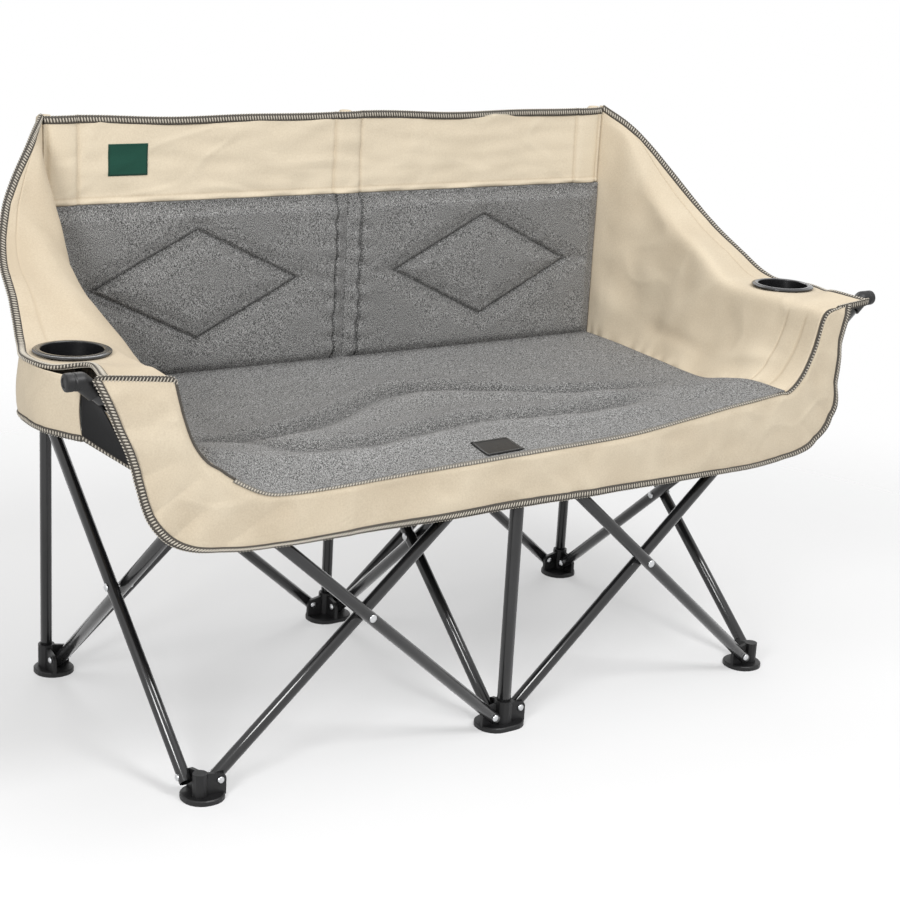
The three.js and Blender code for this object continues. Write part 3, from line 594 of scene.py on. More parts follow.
def trimEdge(name, edge, inward, normal, finish="bindingCloth", loose=True, **change):
    # a dark strip folded over an edge, and cream stitches whipped round it where the edge is loose
    trim = {**edgeTrim, **change}
    width, height = trim["width"], trim["height"]
    inward, normal = (unit(np.broadcast_to(v, edge.shape)) for v in (inward, normal))
    strip = sweep(name, edge + inward * (width / 2 - trim["lap"]), inward, normal, width, height, finish)
    length, places = evenly(edge, trim["step"])
    spot = along(length, places, edge + inward * width * trim["stitchPlace"])
    into = unit(along(length, places, inward))
    out = unit(along(length, places, normal))
    run = unit(along(length, places, unit(np.gradient(edge, axis=0))))
    lift = height / 2 - 0.0001
    faces = (1, -1) if loose else (1,)
    stitches = scatter(name + "Stitches", np.concatenate([spot + side * lift * out for side in faces]),
                       np.tile(into + trim["lean"] * run, (len(faces), 1)),
                       np.concatenate([side * out for side in faces]),
                       (width * trim["stitchLength"], *trim["thread"]), "creamThread")
    if not loose:
        return [strip, stitches]
    rim = along(length, places, edge - inward * (trim["lap"] - 0.0002))
    whips = scatter(name + "Whips", rim, out + trim["whipLean"] * run, -into,
                    (height * trim["whipLength"], *trim["thread"]), "creamThread")
    return [strip, stitches, whips]


# how far the cloth still reaches across when the frame is folded, and along which line
gather = {"keep": 0.196, "sideKeep": 0.2, "sideLine": (-0.403, 0.915)}


def gatherAcross(anchor=0.0):
    return {"axis": (1, 0, 0), "anchor": (anchor, 0, 0), "keep": gather["keep"]}


def gatherSide(side):
    x, y = gather["sideLine"]
    return {"axis": (x * side, y, 0), "anchor": (side * cornerX, rearY, 0), "keep": gather["sideKeep"]}


def carry(pieces, body, squash):
    # rides a body and gathers along one line as the frame folds
    for piece in pieces:
        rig.ride(piece, body)
        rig.squash(piece, "fold", **squash)


def sewTag(name, shape, face, up, body):
    # a small tag on a cloth, with a row of stitches just inside its edge
    up = np.array(up)
    piece = shell(name + "_cloth", face, face - up * shape["thickness"], shape["finish"])
    standFor(piece, name, shape["slot"])
    border = np.concatenate([face[0, :-1], face[:-1, -1], face[-1, :0:-1], face[:0:-1, 0]])
    line = border + (face.mean((0, 1)) - border) * shape["inset"] + up * 0.0003
    line = np.vstack([line, line[:1]])
    length, places = evenly(line, 0.003)
    spots = along(length, places, line)
    rim = scatter(name + "_stitches", spots, np.gradient(spots, axis=0), up, shape["stitch"], shape["thread"])
    carry([piece, rim], body, gatherAcross())


def flatSize(points, keep=None):
    # the cut of a cloth: its longest row, its longest column and its area
    across = points[:-1, 1:] - points[:-1, :-1]
    down = points[1:, :-1] - points[:-1, :-1]
    cells = np.linalg.norm(np.cross(down, across), axis=2)
    width = np.linalg.norm(np.diff(points, axis=1), axis=2).sum(1).max()
    length = np.linalg.norm(np.diff(points, axis=0), axis=2).sum(0).max()
    area = cells.sum() if keep is None else cells[keep].sum()
    return {"flat": (round(float(width), 4), round(float(length), 4)), "area": round(float(area), 4)}


# frame tubes: round ones in place of the faceted solids, the rear posts with a domed top
tube = {"wall": 0.0012, "bore": 0.03, "edge": 0.0005, "ease": 0.0003, "sides": 28, "sharp": 50,
        "dome": ((1, 0.003), (0.9, 0.0008), (0.5, 0), (0, 0))}  # shares of the radius, drops from the top


def tubeLine(node):
    # the lower end, the upper end and the radius of a tube's solid
    points = np.array([v.co for v in nodes[node].data.vertices])
    middle = points.mean(0)
    axis = np.linalg.svd(points - middle, full_matrices=False)[2][0]
    reach = (points - middle) @ axis
    ends = [points[np.abs(reach - edge) < 0.0012].mean(0) for edge in (reach.min(), reach.max())]
    start, end = sorted(ends, key=lambda point: point[2])
    radius = np.linalg.norm(np.cross(points - start, unit(end - start)), axis=1).max()
    return start, end, radius


def roundTube(node, domed):
    start, end, radius = tubeLine(node)
    length = np.linalg.norm(end - start)
    inner = radius - tube["wall"]
    half = [(inner, tube["bore"]), (inner, 0.0), (radius - tube["ease"], 0.0), (radius, tube["edge"])]
    top = [(share * radius, drop) for share, drop in tube["dome"]] if domed else half[::-1]
    profile = half + [(r, length - drop) for r, drop in top]
    piece = lathe(node + "Round", profile, start, end - start, "tubePaint", tube["sides"], tube["sharp"])
    fasten(piece, nodes[node]["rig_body"], "black_tube")
    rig.replaces(piece, node)


for name in sorted(nodes):
    if name.endswith(("_tube", "_post")):
        roundTube(name, name.startswith("rear") and name.endswith("_post"))

# moulded feet and brackets keep their solids, with eased edges
moulding = {"edge": 0.0008, "segments": 2, "sharp": 40}

for name in sorted(nodes):
    if name.endswith(("_foot", "_bracket")):
        node = nodes[name]
        node.data.materials.clear()
        node.data.materials.append(finishes["blackPlastic"])
        edge = node.modifiers.new("edge", "BEVEL")
        edge.width = moulding["edge"]
        edge.segments = moulding["segments"]
        edge.limit_method = "ANGLE"
        edge.angle_limit = math.radians(moulding["sharp"])
        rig.slot(node, "black_plastic")
print("frame pieces ready")

# silver rivet heads on every pivot and crossing
rivet = {"heights": {"foot": 0.028, "bracket": 0.448}, "pivotHead": (0.0112, 0.0112, 0.0052),
         "besideTube": 0.0006, "behindEar": 0.0075, "crossingHead": (0.0125, 0.0125, 0.0046),
         "crossingInset": 0.0016, "shaft": 0.0026}


def pivotRivets(name):
    # domed heads where a tube turns on its foot and on its bracket, one beside it and one behind the ear
    start, end, radius = tubeLine(name)
    axis = unit(end - start)
    pin = np.eye(3)[1 if abs(axis[0]) > abs(axis[1]) else 0]
    columns = {"left": -cornerX, "center": 0.0, "right": cornerX}
    for kind, height in rivet["heights"].items():
        place = start + axis * (height - start[2]) / axis[2]
        row, legY = ("front", frontY) if place[1] < gridShift else ("rear", rearY)
        column = min(columns, key=lambda word: abs(columns[word] - place[0]))
        away = np.sign((place - (columns[column], legY, 0)) @ pin) * pin
        spots = [place + away * (radius + rivet["besideTube"]), place - away * (radius + rivet["behindEar"])]
        heads = scatter(f"{name}_{kind}_rivets", spots, (0, 0, 1), np.array([away, -away]),
                        rivet["pivotHead"], "steelRivet", (16, 8))
        fasten(heads, nodes[f"{row}_{column}_{kind}"]["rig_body"], "steel_rivet")


def crossingRivet(name):
    low, high = (np.array(corner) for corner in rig.box(name))
    span = high - low
    pin = np.eye(3)[int(np.argmax(span))]
    middle = (low + high) / 2
    half = span.max() / 2 - rivet["crossingInset"]
    heads = scatter(name + "Heads", [middle + pin * half, middle - pin * half], (0, 0, 1),
                    np.array([pin, -pin]), rivet["crossingHead"], "steelRivet", (20, 10))
    profile = [(0, -half), (rivet["shaft"], -half), (rivet["shaft"], half), (0, half)]
    shaft = lathe(name + "Shaft", profile, middle, pin, "steelRivet", 16)
    for piece in (heads, shaft):
        fasten(piece, nodes[name]["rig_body"], "steel_rivet")
    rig.replaces(heads, name)


for name in sorted(nodes):
    if name.endswith("_tube") and "slide" not in name:
        pivotRivets(name)
for name in sorted(nodes):
    if name.endswith("_crossing_rivet"):
        crossingRivet(name)

# radii and reaches of the socket from the tube's end, and of the peg past its round elbow
armCap = {
    "elbow": 0.0125, "sides": 36,
    "socket": [(0.0098, -0.026), (0.0116, -0.0262), (0.0125, -0.0253), (0.0125, 0.0), (0.0, 0.0)],
    "peg": [(0.0125, 0.0085), (0.0117, 0.0096), (0.0117, 0.0112), (0.0125, 0.0123), (0.0125, 0.0195),
            (0.0119, 0.0217), (0.0100, 0.0228), (0.0072, 0.0230), (0.0066, 0.0218), (0.0, 0.0216)],
}


def buildArmCap(side):
    # a socket over the tube's end that turns into a level peg
    word = f"front_{sideWords[side]}_arm"
    start, end = tubeLine(word + "_tube")[:2]
    quarter = np.linspace(0, math.pi / 2, 7)
    elbow = [(armCap["elbow"] * math.sin(t), -armCap["elbow"] * math.cos(t)) for t in quarter]
    socket = lathe(word + "_socket", armCap["socket"], end, end - start, "blackPlastic", armCap["sides"])
    peg = lathe(word + "_peg", elbow + armCap["peg"], end, (side, 0, 0), "blackPlastic", armCap["sides"])
    for piece in (socket, peg):
        fasten(piece, word + "_tube", "black_plastic")
    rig.replaces(peg, word + "_cap")
    return end


armEnds = {side: buildArmCap(side) for side in sideWords}
armOver = float(armEnds[1][0]) - cornerX
print("rivets and caps ready")

# levels of the seat's face, how far its front corners curl up, and how far the wings reach below it
seatLevels = {"front": 0.478, "rear": 0.491, "curl": 0.038, "lap": 0.014}
# the cup holder's place by a share of the arm's overhang, and its moulded shape
cup = {"overhang": 0.695, "fromFront": 0.144, "rise": 0.0035, "radius": 0.043, "flange": 0.054,
       "depth": 0.092, "opening": 0.0478}
cupPlace = np.array([cornerX + cup["overhang"] * armOver, frontY + cup["fromFront"]])

# the wing's stations run from the rear post to the front at shares of the depth, with its edge at the seat in
# shares of the arm's overhang and of the seat's curl, its crease and outer edge in overhang and shoulder
wing = {
    "stations": [
        {"at": 0.026, "seat": (0.053, 0), "crease": (0.058, 0.88), "outer": (0.063, 1)},
        {"at": 0.107, "seat": (0.06, 0), "crease": (0.16, 0.81), "outer": (0.27, 0.87)},
        {"at": 0.204, "seat": (0.06, 0), "crease": (0.3, 0.47), "outer": (0.58, 0.59)},
        {"at": 0.32, "seat": (0.037, 0), "crease": (0.34, 0.28), "outer": (0.755, 0.34)},
        {"at": 0.46, "seat": (-0.005, 0.03), "crease": (0.34, 0.15), "outer": (0.84, 0.16)},
        {"at": 0.6, "seat": (-0.074, 0.1), "crease": (0.35, 0.004), "outer": (0.95, 0.007)},
        {"at": 0.7333, "seat": (-0.137, 0.27), "crease": (0.337, 0), "outer": (1.064, 0)},
        {"at": 0.835, "seat": (-0.121, 0.62), "crease": (0.332, 0), "outer": (1, 0)},
        {"at": 0.925, "seat": (-0.08, 0.86), "crease": (0.326, -0.01), "outer": (0.82, 0.04)},
        {"at": 1.0435, "seat": (-0.047, 1), "crease": (0.32, -0.01), "outer": (0.875, 0.03)},
    ],
    # the crease and the places where the arm front joins, as shares of the cloth's width from the seat
    "wall": 0.62, "sewn": {-1: (0.62, 0.45, 0.28, 0.12, 0.0), 1: (0.75, 0.63, 0.42, 0.19, 0.0)},
    # the wall's two inner control points between seat and crease, and their rise where it is taut and slack
    "foot": (0.51, 0.3, 0), "footRise": (0.11, 0.3), "head": (0.84, 0.7, 0), "headRise": (0.44, 0.8),
    "belly": 0.052, "tuckX": 0.5465,
    # tint lays an even painted shade over the whole left wing, which the lamps light more than the right
    "grid": (190, 136), "thickness": 0.0036, "softening": {-1: 28, 1: 56}, "tint": {-1: 0.3, 1: 0.0},
    "waves": {-1: [(0.0042, 9.0, 2.0), (0.0016, 27.0, 9.0)], 1: [(0.0028, 9.0, 4.0), (0.0022, 22.0, 9.0)]},
    "folds": {-1: (0.0008, 10.0, 3.0), 1: (0.0008, 10.0, 5.0)},
    "drape": 0.003, "pucker": 0.0016, "seam": 0.0016, "seams": (0.845, 0.925), "rimSeam": 0.86,
    "frontTrim": 0.0152, "frontReach": 0.011,
}
wingFronts = {}


def seatLevel(y):
    return mixed(seatLevels["rear"], seatLevels["front"], (rearY - y) / depth)


def stationLine(key):
    rows = []
    for station in wing["stations"]:
        out, up = station[key]
        y = rearY - station["at"] * depth
        low = seatLevel(y) - seatLevels["lap"] + up * seatLevels["curl"]
        rows.append((cornerX + out * armOver, y, low if key == "seat" else armHeight + up * shoulder))
    return spline(rows)


seatLine = stationLine("seat")
creaseLine = stationLine("crease")
outerLine = stationLine("outer")


def wingPoints(u, v, side):
    low = seatLine(u)
    crease = creaseLine(u)
    slack = np.zeros_like(u)
    if side < 0:  # the left wing bellies out over the seat
        slack = smooth(u / 0.2) * (1 - smooth((u - 0.5) / 0.3))
    low[..., 0] += 0.003 + 0.001 * slack
    height = crease[..., 2] - low[..., 2]
    foot = mixed(low, crease, np.array(wing["foot"]))
    foot[..., 0] = mixed(foot[..., 0], low[..., 0], slack)
    foot[..., 2] += height * mixed(*wing["footRise"], slack)
    head = mixed(low, crease, np.array(wing["head"]))
    head[..., 0] = mixed(head[..., 0], low[..., 0] - wing["belly"], slack)
    head[..., 2] += height * mixed(*wing["headRise"], slack)
    t = np.clip(v / wing["wall"], 0, 1)[..., None]
    wall = (1 - t) ** 3 * low + 3 * (1 - t) ** 2 * t * foot + 3 * (1 - t) * t ** 2 * head + t ** 3 * crease
    over = np.clip((v - wing["wall"]) / (1 - wing["wall"]), 0, 1)[..., None]
    points = np.where(v[..., None] <= wing["wall"], wall, mixed(crease, outerLine(u), over))
    points[..., 0] *= side
    return points


def wingRelief(points, u, v, side):
    # how far the cloth lifts off its smooth form, and its painted shade; it lies calm where it is sewn and at the cup
    fromCup = np.linalg.norm(points[..., :2] - cupPlace * (side, 1), axis=2)
    sewn = smooth(np.minimum(np.minimum(u, 1 - u), v) / 0.08)
    calm = sewn * smooth((fromCup - 0.055) / 0.04) * (0.45 + 0.55 * smooth((1 - v) / 0.1))
    drape = bell(v - 0.2 - 0.1 * u, 0.05) * np.sin(u * 9 + side) * wing["drape"]
    relief = (clothRelief(points, wing["waves"][side], wing["folds"][side]) + drape) * calm
    pucker = bell(v, 0.07) * np.sin(u * 95 + 3 * np.sin(u * 17))
    seam = sum(bell(u - at - 0.03 * v, 0.004) for at in wing["seams"]) * smooth((wing["wall"] - v) / 0.1)
    seam += 0.7 * bell(v - wing["rimSeam"], 0.007) * smooth(u / 0.05) * smooth((0.6 - u) / 0.08)
    lift = relief + wing["pucker"] * pucker * smooth(v / 0.02) - wing["seam"] * seam
    # painted shade in the hollows of the relief, in the seam grooves and the puckers, and painted light on the relief's
    # crests
    shade = np.clip(-relief / 0.0045, -0.4, 1) * 0.34 + 0.8 * seam + np.clip(-pucker, 0, 1) * 0.5
    return lift[..., None], shade + wing["tint"][side]


def buildWing(side):
    word = sideWords[side]
    columns, rows = wing["grid"]
    u, v = gridOf(columns, rows)
    points = soften(wingPoints(u, v, side), wing["softening"][side])
    wingFronts[side] = points[:, -1] * (side, 1, 1)
    normal = gridNormals(points)
    inside = np.sign((normal[rows // 2, columns // 2] * (-side, -0.4, 0.2)).sum())
    lift, shade = wingRelief(points, u, v, side)
    points = points + normal * inside * lift
    # the rear edge turns in behind the end of the back
    hidden = points[:, :1].copy()
    hidden[..., 0] = side * wing["tuckX"]
    hidden[..., 1] = rearY - tubeRadius
    bend = points[:, :1] * 0.5 + hidden * 0.5
    bend[..., 0] = points[:, :1, 0]
    points = np.concatenate([hidden, bend, points], 1)
    shade = np.concatenate([shade[:, :1], shade[:, :1], shade], 1)
    normal = gridNormals(points) * inside
    centres = (points[:-1, :-1] + points[1:, 1:]) / 2
    inCup = np.linalg.norm(centres[..., :2] - cupPlace * (side, 1), axis=2) < cup["opening"]
    keep = ~(inCup & (np.abs(centres[..., 2] - armHeight) < 0.03))
    cloth = thickShell(f"wing_{word}_cloth", points, normal, wing["thickness"], "beigeCloth",
                       keep=keep, crease=shade)
    standFor(cloth, f"wing_{word}", "beige_cloth")
    trims = trimEdge(f"wing_{word}_edge", points[-1, 2:], (points[-4] - points[-1])[2:], normal[-1, 2:])
    fold = points[int(wing["sewn"][side][0] * rows) - 2:, -1] + (0, -0.003, 0.003)
    if side < 0:
        fold = np.vstack([fold, fold[-1] + (-wing["frontReach"], 0, -0.001)])
    trims += trimEdge(f"wing_{word}_front", fold, (0, 0.35, -1.0), (0, -1.0, 0.35), width=wing["frontTrim"])
    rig.sheet(cloth, **flatSize(points, keep), held="stretched", rests_on=[f"rear_{word}_post"],
             with_pieces=trims)
    carry([cloth, *trims], f"rear_{word}_leg", gatherSide(side))


for side in sideWords:
    buildWing(side)
print("wings ready")


def buildCup(side):
    lip = armHeight + cup["rise"]
    floor = lip - cup["depth"]
    r = cup["radius"]
    flange = cup["flange"]
    outside = [(0.0, floor), (r - 0.003, floor), (r + 0.001, floor + 0.003), (r + 0.002, floor + 0.006),
               (r + 0.002, lip)]
    rim = [(flange - 0.0008, lip - 0.0002), (flange, lip + 0.0008), (flange - 0.0002, lip + 0.0022),
           (flange - 0.0015, lip + 0.0031), (flange - 0.0045, lip + 0.0034), (flange - 0.0052, lip + 0.0042),
           (flange - 0.0075, lip + 0.0044)]
    inside = [(r + 0.0012, lip + 0.004), (r + 0.0002, lip + 0.003), (r, lip + 0.001),
              (r - 0.0006, floor + 0.012), (r - 0.003, floor + 0.0035), (r - 0.006, floor + 0.002),
              (0.0, floor + 0.002)]
    place = (side * cupPlace[0], cupPlace[1], 0)
    piece = lathe(f"cup_{sideWords[side]}", outside + rim + inside, place, (0, 0, 1), "cupPlastic", 72)
    standFor(piece, f"cup_holder_{sideWords[side]}", "black_plastic")
    carry([piece], f"rear_{sideWords[side]}_leg", gatherSide(side))


# the cloth bag round the cup, whose line goes round the cup's middle in shares of its flange
pouch = {
    "line": [(-0.81, 1.11), (0.19, 1.22), (1.04, 0.78), (1.22, -0.11), (1.15, -1), (0.89, -1.67),
             (0.67, -2.11)],
    "belowArm": 0.0045, "height": 0.084, "bulge": 0.005, "thickness": 0.0026, "trim": 0.0105,
    "waves": [(0.0024, 22.0, 4.0)], "folds": (0.0009, 16.0, 3.0),
}


def buildPouch(side):
    word = sideWords[side]
    rim = armHeight - pouch["belowArm"]
    line = spline([(*(cupPlace + np.array(knot) * cup["flange"]), rim) for knot in pouch["line"]])
    u, v = gridOf(90, 40)
    points = line(u)
    points[..., 2] -= v * pouch["height"]
    points[..., 0] += pouch["bulge"] * np.sin(math.pi * v)
    points[..., 0] *= side
    relief = clothRelief(points, pouch["waves"], pouch["folds"]) * edgeFade(u, v)
    points = points + gridNormals(points) * relief[..., None]
    normal = gridNormals(points)
    cloth = thickShell(f"cup_pouch_{word}_cloth", points, normal, pouch["thickness"], "beigeCloth")
    standFor(cloth, f"cup_pouch_{word}", "beige_cloth")
    trims = trimEdge(f"cup_pouch_{word}_edge", points[-1], points[-4] - points[-1], normal[-1],
                     width=pouch["trim"])
    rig.sheet(cloth, **flatSize(points), held="hung", rests_on=[f"wing_{word}"], with_pieces=trims)
    carry([cloth, *trims], f"rear_{word}_leg", gatherSide(side))


# a black wedge under the arm: heights at the pouch, then shares of the overhang and heights at the arm front
gusset = {
    "edges": {-1: {"pouch": (0.617, 0.5505), "front": ((0.864, 0.605), (0.6, 0.512))},
              1: {"pouch": (0.598, 0.5505), "front": ((0.57, 0.556), (0.5, 0.505))}},
    "bulge": 0.002, "thickness": 0.0018, "trim": (0.008, 0.0044),
}


def buildGusset(side):
    # from the pouch's front end to the back of the arm front, outside the arm tube
    word = sideWords[side]
    edges = gusset["edges"][side]
    x, y = cupPlace + np.array(pouch["line"][-1]) * cup["flange"]
    rear = [np.array((x + 0.001, y, z)) for z in edges["pouch"]]
    front = [np.array((cornerX + out * armOver, frontFace + 0.0035, z)) for out, z in edges["front"]]
    u, v = gridOf(24, 20)
    upper, lower = (mixed(a, b, u[..., None]) for a, b in zip(rear, front))
    points = mixed(upper, lower, v[..., None])
    points[..., 0] += gusset["bulge"] * np.sin(math.pi * v) * np.sin(math.pi * u)
    points[..., 0] *= side
    normal = gridNormals(points)
    cloth = thickShell(f"arm_gusset_{word}_cloth", points, normal, gusset["thickness"], "blackCloth")
    standFor(cloth, f"arm_gusset_{word}", "black_cloth")
    width, height = gusset["trim"]
    trims = trimEdge(f"arm_gusset_{word}_edge", points[-1], points[-4] - points[-1], normal[-1],
                     width=width, height=height)
    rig.sheet(cloth, **flatSize(points), held="stretched", rests_on=[f"cup_pouch_{word}"], with_pieces=trims)
    carry([cloth, *trims], f"rear_{word}_leg", gatherSide(side))


for side in sideWords:
    buildCup(side)
    buildPouch(side)
    buildGusset(side)
print("cup holders ready")

# the seat is one surface, cut where it folds; its front rim hangs lower on the left than on the right, and
# two folds swing across it from corner to corner, given by where their valleys run
seat = {
    "rim": [(-0.531, 0.498), (-0.495, 0.475), (-0.455, 0.457), (-0.4, 0.4525), (-0.2, 0.458), (0, 0.4635),
            (0.2, 0.469), (0.32, 0.481), (0.403, 0.4905), (0.467, 0.4965), (0.508, 0.501), (0.531, 0.503)],
    "folds": [
        {"valley": [(-0.56, -0.118), (-0.47, -0.124), (-0.374, -0.117), (-0.232, -0.07), (-0.075, 0.022),
                    (0.019, 0.046), (0.125, 0.006), (0.239, -0.067), (0.382, -0.101), (0.5, -0.089)],
         "rise": 0.012, "shade": 0.29},
        {"valley": [(-0.5, -0.128), (-0.43, -0.145), (-0.288, -0.197), (-0.137, -0.177), (0.011, -0.143),
                    (0.154, -0.167), (0.278, -0.168), (0.455, -0.112)],
         "rise": 0.011, "shade": 0.26},
    ],
    "ridges": [(0.6, -0.036, 0.026), (0.75, 0.04, 0.03), (-0.4, 0.0, 0.018)],  # shares, places, widths
    "sag": 0.012, "start": 0.03, "cut": 0.5, "grid": (190, 280), "thickness": 0.0145, "edge": 0.004,
    "fill": 0.35, "waves": [(0.0024, 16.0, 1.0), (0.0009, 45.0, 2.0)],
}
bracketTop = boxOf("front_center_bracket")[1][2]


def rimHeight(x):
    line = spline(seat["rim"])(np.linspace(0, 1, 240))
    return np.interp(x, line[:, 0], line[:, 1])


def foldRelief(x, y, fold):
    # a soft valley with a round ridge in front of it and one behind, with painted shade down in the valley and a
    # painted highlight on the ridge in front
    line = spline(fold["valley"])(np.linspace(0, 1, 160))
    away = y - gridShift - np.interp(x, line[:, 0], line[:, 1])
    start, end = x - line[0, 0], line[-1, 0] - x
    ridge = sum(share * bell(away - at, width) for share, at, width in seat["ridges"])
    shade = bell(away - 0.004, np.where(away > 0.004, 0.026, 0.011)) - 0.3 * bell(away + 0.034, 0.02)
    rise = fold["rise"] * smooth(start / 0.26) * smooth(end / 0.2)
    return rise * ridge, fold["shade"] * smooth(start / 0.12) * smooth(end / 0.2) * shade


def seatPoints(u, v):
    edge = seatLine(u)
    across = 2 * v - 1
    flat = seatLevel(edge[..., 1])
    curl = (edge[..., 2] - flat + seatLevels["lap"]) * smooth((np.abs(across) - 0.7) / 0.3)
    height = flat - seat["sag"] * (1 - across ** 2) * np.sin(math.pi * u) + curl
    x = across * edge[..., 0]
    for fold in seat["folds"]:
        height = height + foldRelief(x, edge[..., 1], fold)[0]
    height = height - 0.004 * (np.maximum(0, np.abs(across) - 0.97) / 0.03) ** 2
    height = mixed(height, rimHeight(x) + 0.002, smooth((u - 0.84) / 0.16))
    return np.stack([x, edge[..., 1], height], -1)


def upwardNormals(points):
    normal = gridNormals(points)
    return normal * np.sign(normal[..., 2:])


def buildSeat():
    start = seat["start"]
    columns, rows = seat["grid"]
    u, v = np.meshgrid(np.linspace(start, 1, columns), np.linspace(0, 1, rows))
    points = seatPoints(u, v)
    calm = edgeFade((u - start) / (1 - start), v, 0.05)
    points = points + upwardNormals(points) * (clothRelief(points, seat["waves"]) * calm)[..., None]
    normal = upwardNormals(points)
    # painted shade in the fold valleys, along both sides where the seat meets the wings, and along its rear edge by the
    # back
    shade = sum(foldRelief(points[..., 0], points[..., 1], fold)[1] for fold in seat["folds"])
    shade = shade + 0.16 * bell(np.minimum(v, 1 - v), 0.02) + 0.3 * bell(u - start, 0.035)
    # the pad thins out over the brackets and towards its sewn front edge
    floor = points.copy()
    under = np.maximum(points[..., 2] - seat["thickness"], bracketTop + 0.0015)
    floor[..., 2] = np.minimum(points[..., 2] - seat["edge"], under)
    cut = int(np.argmin(np.abs(u[0] - seat["cut"])))
    for name, part in (("seat_rear", slice(0, cut + 1)), ("seat_front", slice(cut, None))):
        pad = shell(name + "_pad", points[:, part], floor[:, part], "greyCloth", normals=normal[:, part],
                    lining="blackCloth", crease=shade[:, part])
        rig.padded(pad, seat["fill"])
        standFor(pad, name, "grey_cloth")
        carry([pad], name, gatherAcross())


buildSeat()
print("seat ready")

# the back: two padded halves with a quilted diamond, and seams down either side of the middle
back = {
    "low": 0.478, "gap": 0.0003, "end": 0.5475, "belowBand": 0.0005, "grid": (250, 136), "fill": 0.5,
    "diamond": {"x": 0.286, "z": 0.635, "width": 0.187, "height": 0.09, "groove": 0.0042, "line": 0.0028},
    "seam": {"x": 0.024, "depth": 0.0055, "line": 0.0028, "pucker": 0.0016}, "thickness": 0.009,
    "puff": 0.0125, "waves": [(0.0015, 14.0, 6.0)], "folds": (0.0006, 11.0, 2.0),
    "creases": (0.0016, 60.0, 2.0),
    "stitch": {"step": 0.0065, "size": (0.0046, 0.0013, 0.0011)},
}


def buildBack(side):
    word = sideWords[side]
    diamond = back["diamond"]
    middleSeam = back["seam"]
    rear = rearY - tubeRadius - back["gap"]
    low, high = back["low"], bandLow - back["belowBand"]
    u, v = gridOf(*back["grid"])
    out = mixed(back["gap"], back["end"], u)
    z = mixed(low, high, v)
    width, height = diamond["width"], diamond["height"]
    away = np.abs(out - diamond["x"]) / width + np.abs(z - diamond["z"]) / height - 1
    away /= math.hypot(1 / width, 1 / height)  # from shares of the diamond to metres off its line
    groove = bell(away, diamond["line"])
    sway = 0.0012 * np.sin(z * 75 + 2 * side) + 0.0008 * np.sin(z * 160 + side)
    seam = bell(out - middleSeam["x"] - sway, middleSeam["line"])
    crown = smooth(np.minimum(u, 1 - u) / 0.06 + 0.15) * smooth(np.minimum(v, 1 - v) / 0.1 + 0.1)
    puff = back["puff"] * crown * (1 - 0.45 * bell(away, 0.022))
    points = np.stack([side * out, rear - back["thickness"] - puff, z], -1)
    points[..., 1] += diamond["groove"] * groove + middleSeam["depth"] * seam
    creases = bell(away, 0.03) * clothRelief(points, [back["creases"]])
    points[..., 1] -= crown * (clothRelief(points, back["waves"], back["folds"]) + creases)
    points[..., 1] -= middleSeam["pucker"] * bell(out - middleSeam["x"], 0.02) * np.sin(z * 190 + side)
    rearFace = np.stack([side * out, np.full_like(out, rear), z], -1)
    # painted shade: evenly over the whole pad, in and around the quilted groove and the middle seam, under the band and
    # along the bottom by the seat
    shade = 0.07 + 0.36 * groove + 0.1 * bell(away, 0.014) + 0.42 * seam
    shade = shade + 0.22 * bell(high - z, 0.012) + 0.16 * bell(z - low, 0.03)
    pad = shell(f"back_{word}_pad", points, rearFace, "greyCloth", lining="beigeCloth", crease=shade)
    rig.padded(pad, back["fill"])
    standFor(pad, f"back_pad_{word}", "grey_cloth")
    carry([pad], "rear_center_leg", gatherAcross())
    quiltStitches(f"back_{word}_quilting", points, side)


def quiltStitches(name, points, side):
    # a row of short stitches down in the quilted diamond
    diamond = back["diamond"]
    stitch = back["stitch"]
    corners = np.array([(1, 0), (0, 1), (-1, 0), (0, -1), (1, 0)]) * (diamond["width"], diamond["height"])
    spots = []
    heading = []
    for a, b in zip(corners[:-1], corners[1:]):
        count = int(np.linalg.norm(b - a) / stitch["step"])
        share = (np.arange(count) + 0.5) / count
        spots.append(mixed(a, b, share[:, None]) + (diamond["x"], diamond["z"]))
        heading.append(np.tile(unit(b - a), (count, 1)))
    out, z = np.concatenate(spots).T
    column = np.interp(out, np.abs(points[0, :, 0]), np.arange(points.shape[1])).round().astype(int)
    row = np.interp(z, points[:, 0, 2], np.arange(points.shape[0])).round().astype(int)
    places = np.stack([side * out, points[row, column, 1] + 0.0002, z], 1)
    forward = np.insert(np.concatenate(heading) * (side, 1), 1, 0, axis=1)
    made = scatter(name, places, forward, (0, -1, 0), stitch["size"], "blackCloth")
    carry([made], "rear_center_leg", gatherAcross())


for side in sideWords:
    buildBack(side)
print("back ready")

# the band along the top, with a sleeve over each post and a bare patch sewn on it
band = {
    "end": 0.5475, "grid": (400, 64), "behind": 0.0008, "thickness": 0.0042, "trimDrop": 0.003,
    "sleeves": {"x": (-0.517, 0.0, 0.517), "half": 0.022, "seam": 0.026, "rise": 0.004, "seamDepth": 0.003,
                "radius": 0.0133},
    # tint below nought is an even painted light over the whole band
    "hem": {"rise": 0.0016, "seam": 0.0105}, "tint": -0.3,
    "waves": [(0.003, 8.0, 5.0)], "fineWave": (0.0016, 30.0, 7.0), "folds": 0.0008, "hemPucker": 0.0016,
}
patch = {"grid": (24, 18), "thickness": 0.0016, "lift": 0.0009, "inset": (0.06, 0, 0.08),
         "stitch": (0.0022, 0.0007, 0.0006), "finish": "greenCloth", "slot": "green_cloth",
         "thread": "blackCloth"}


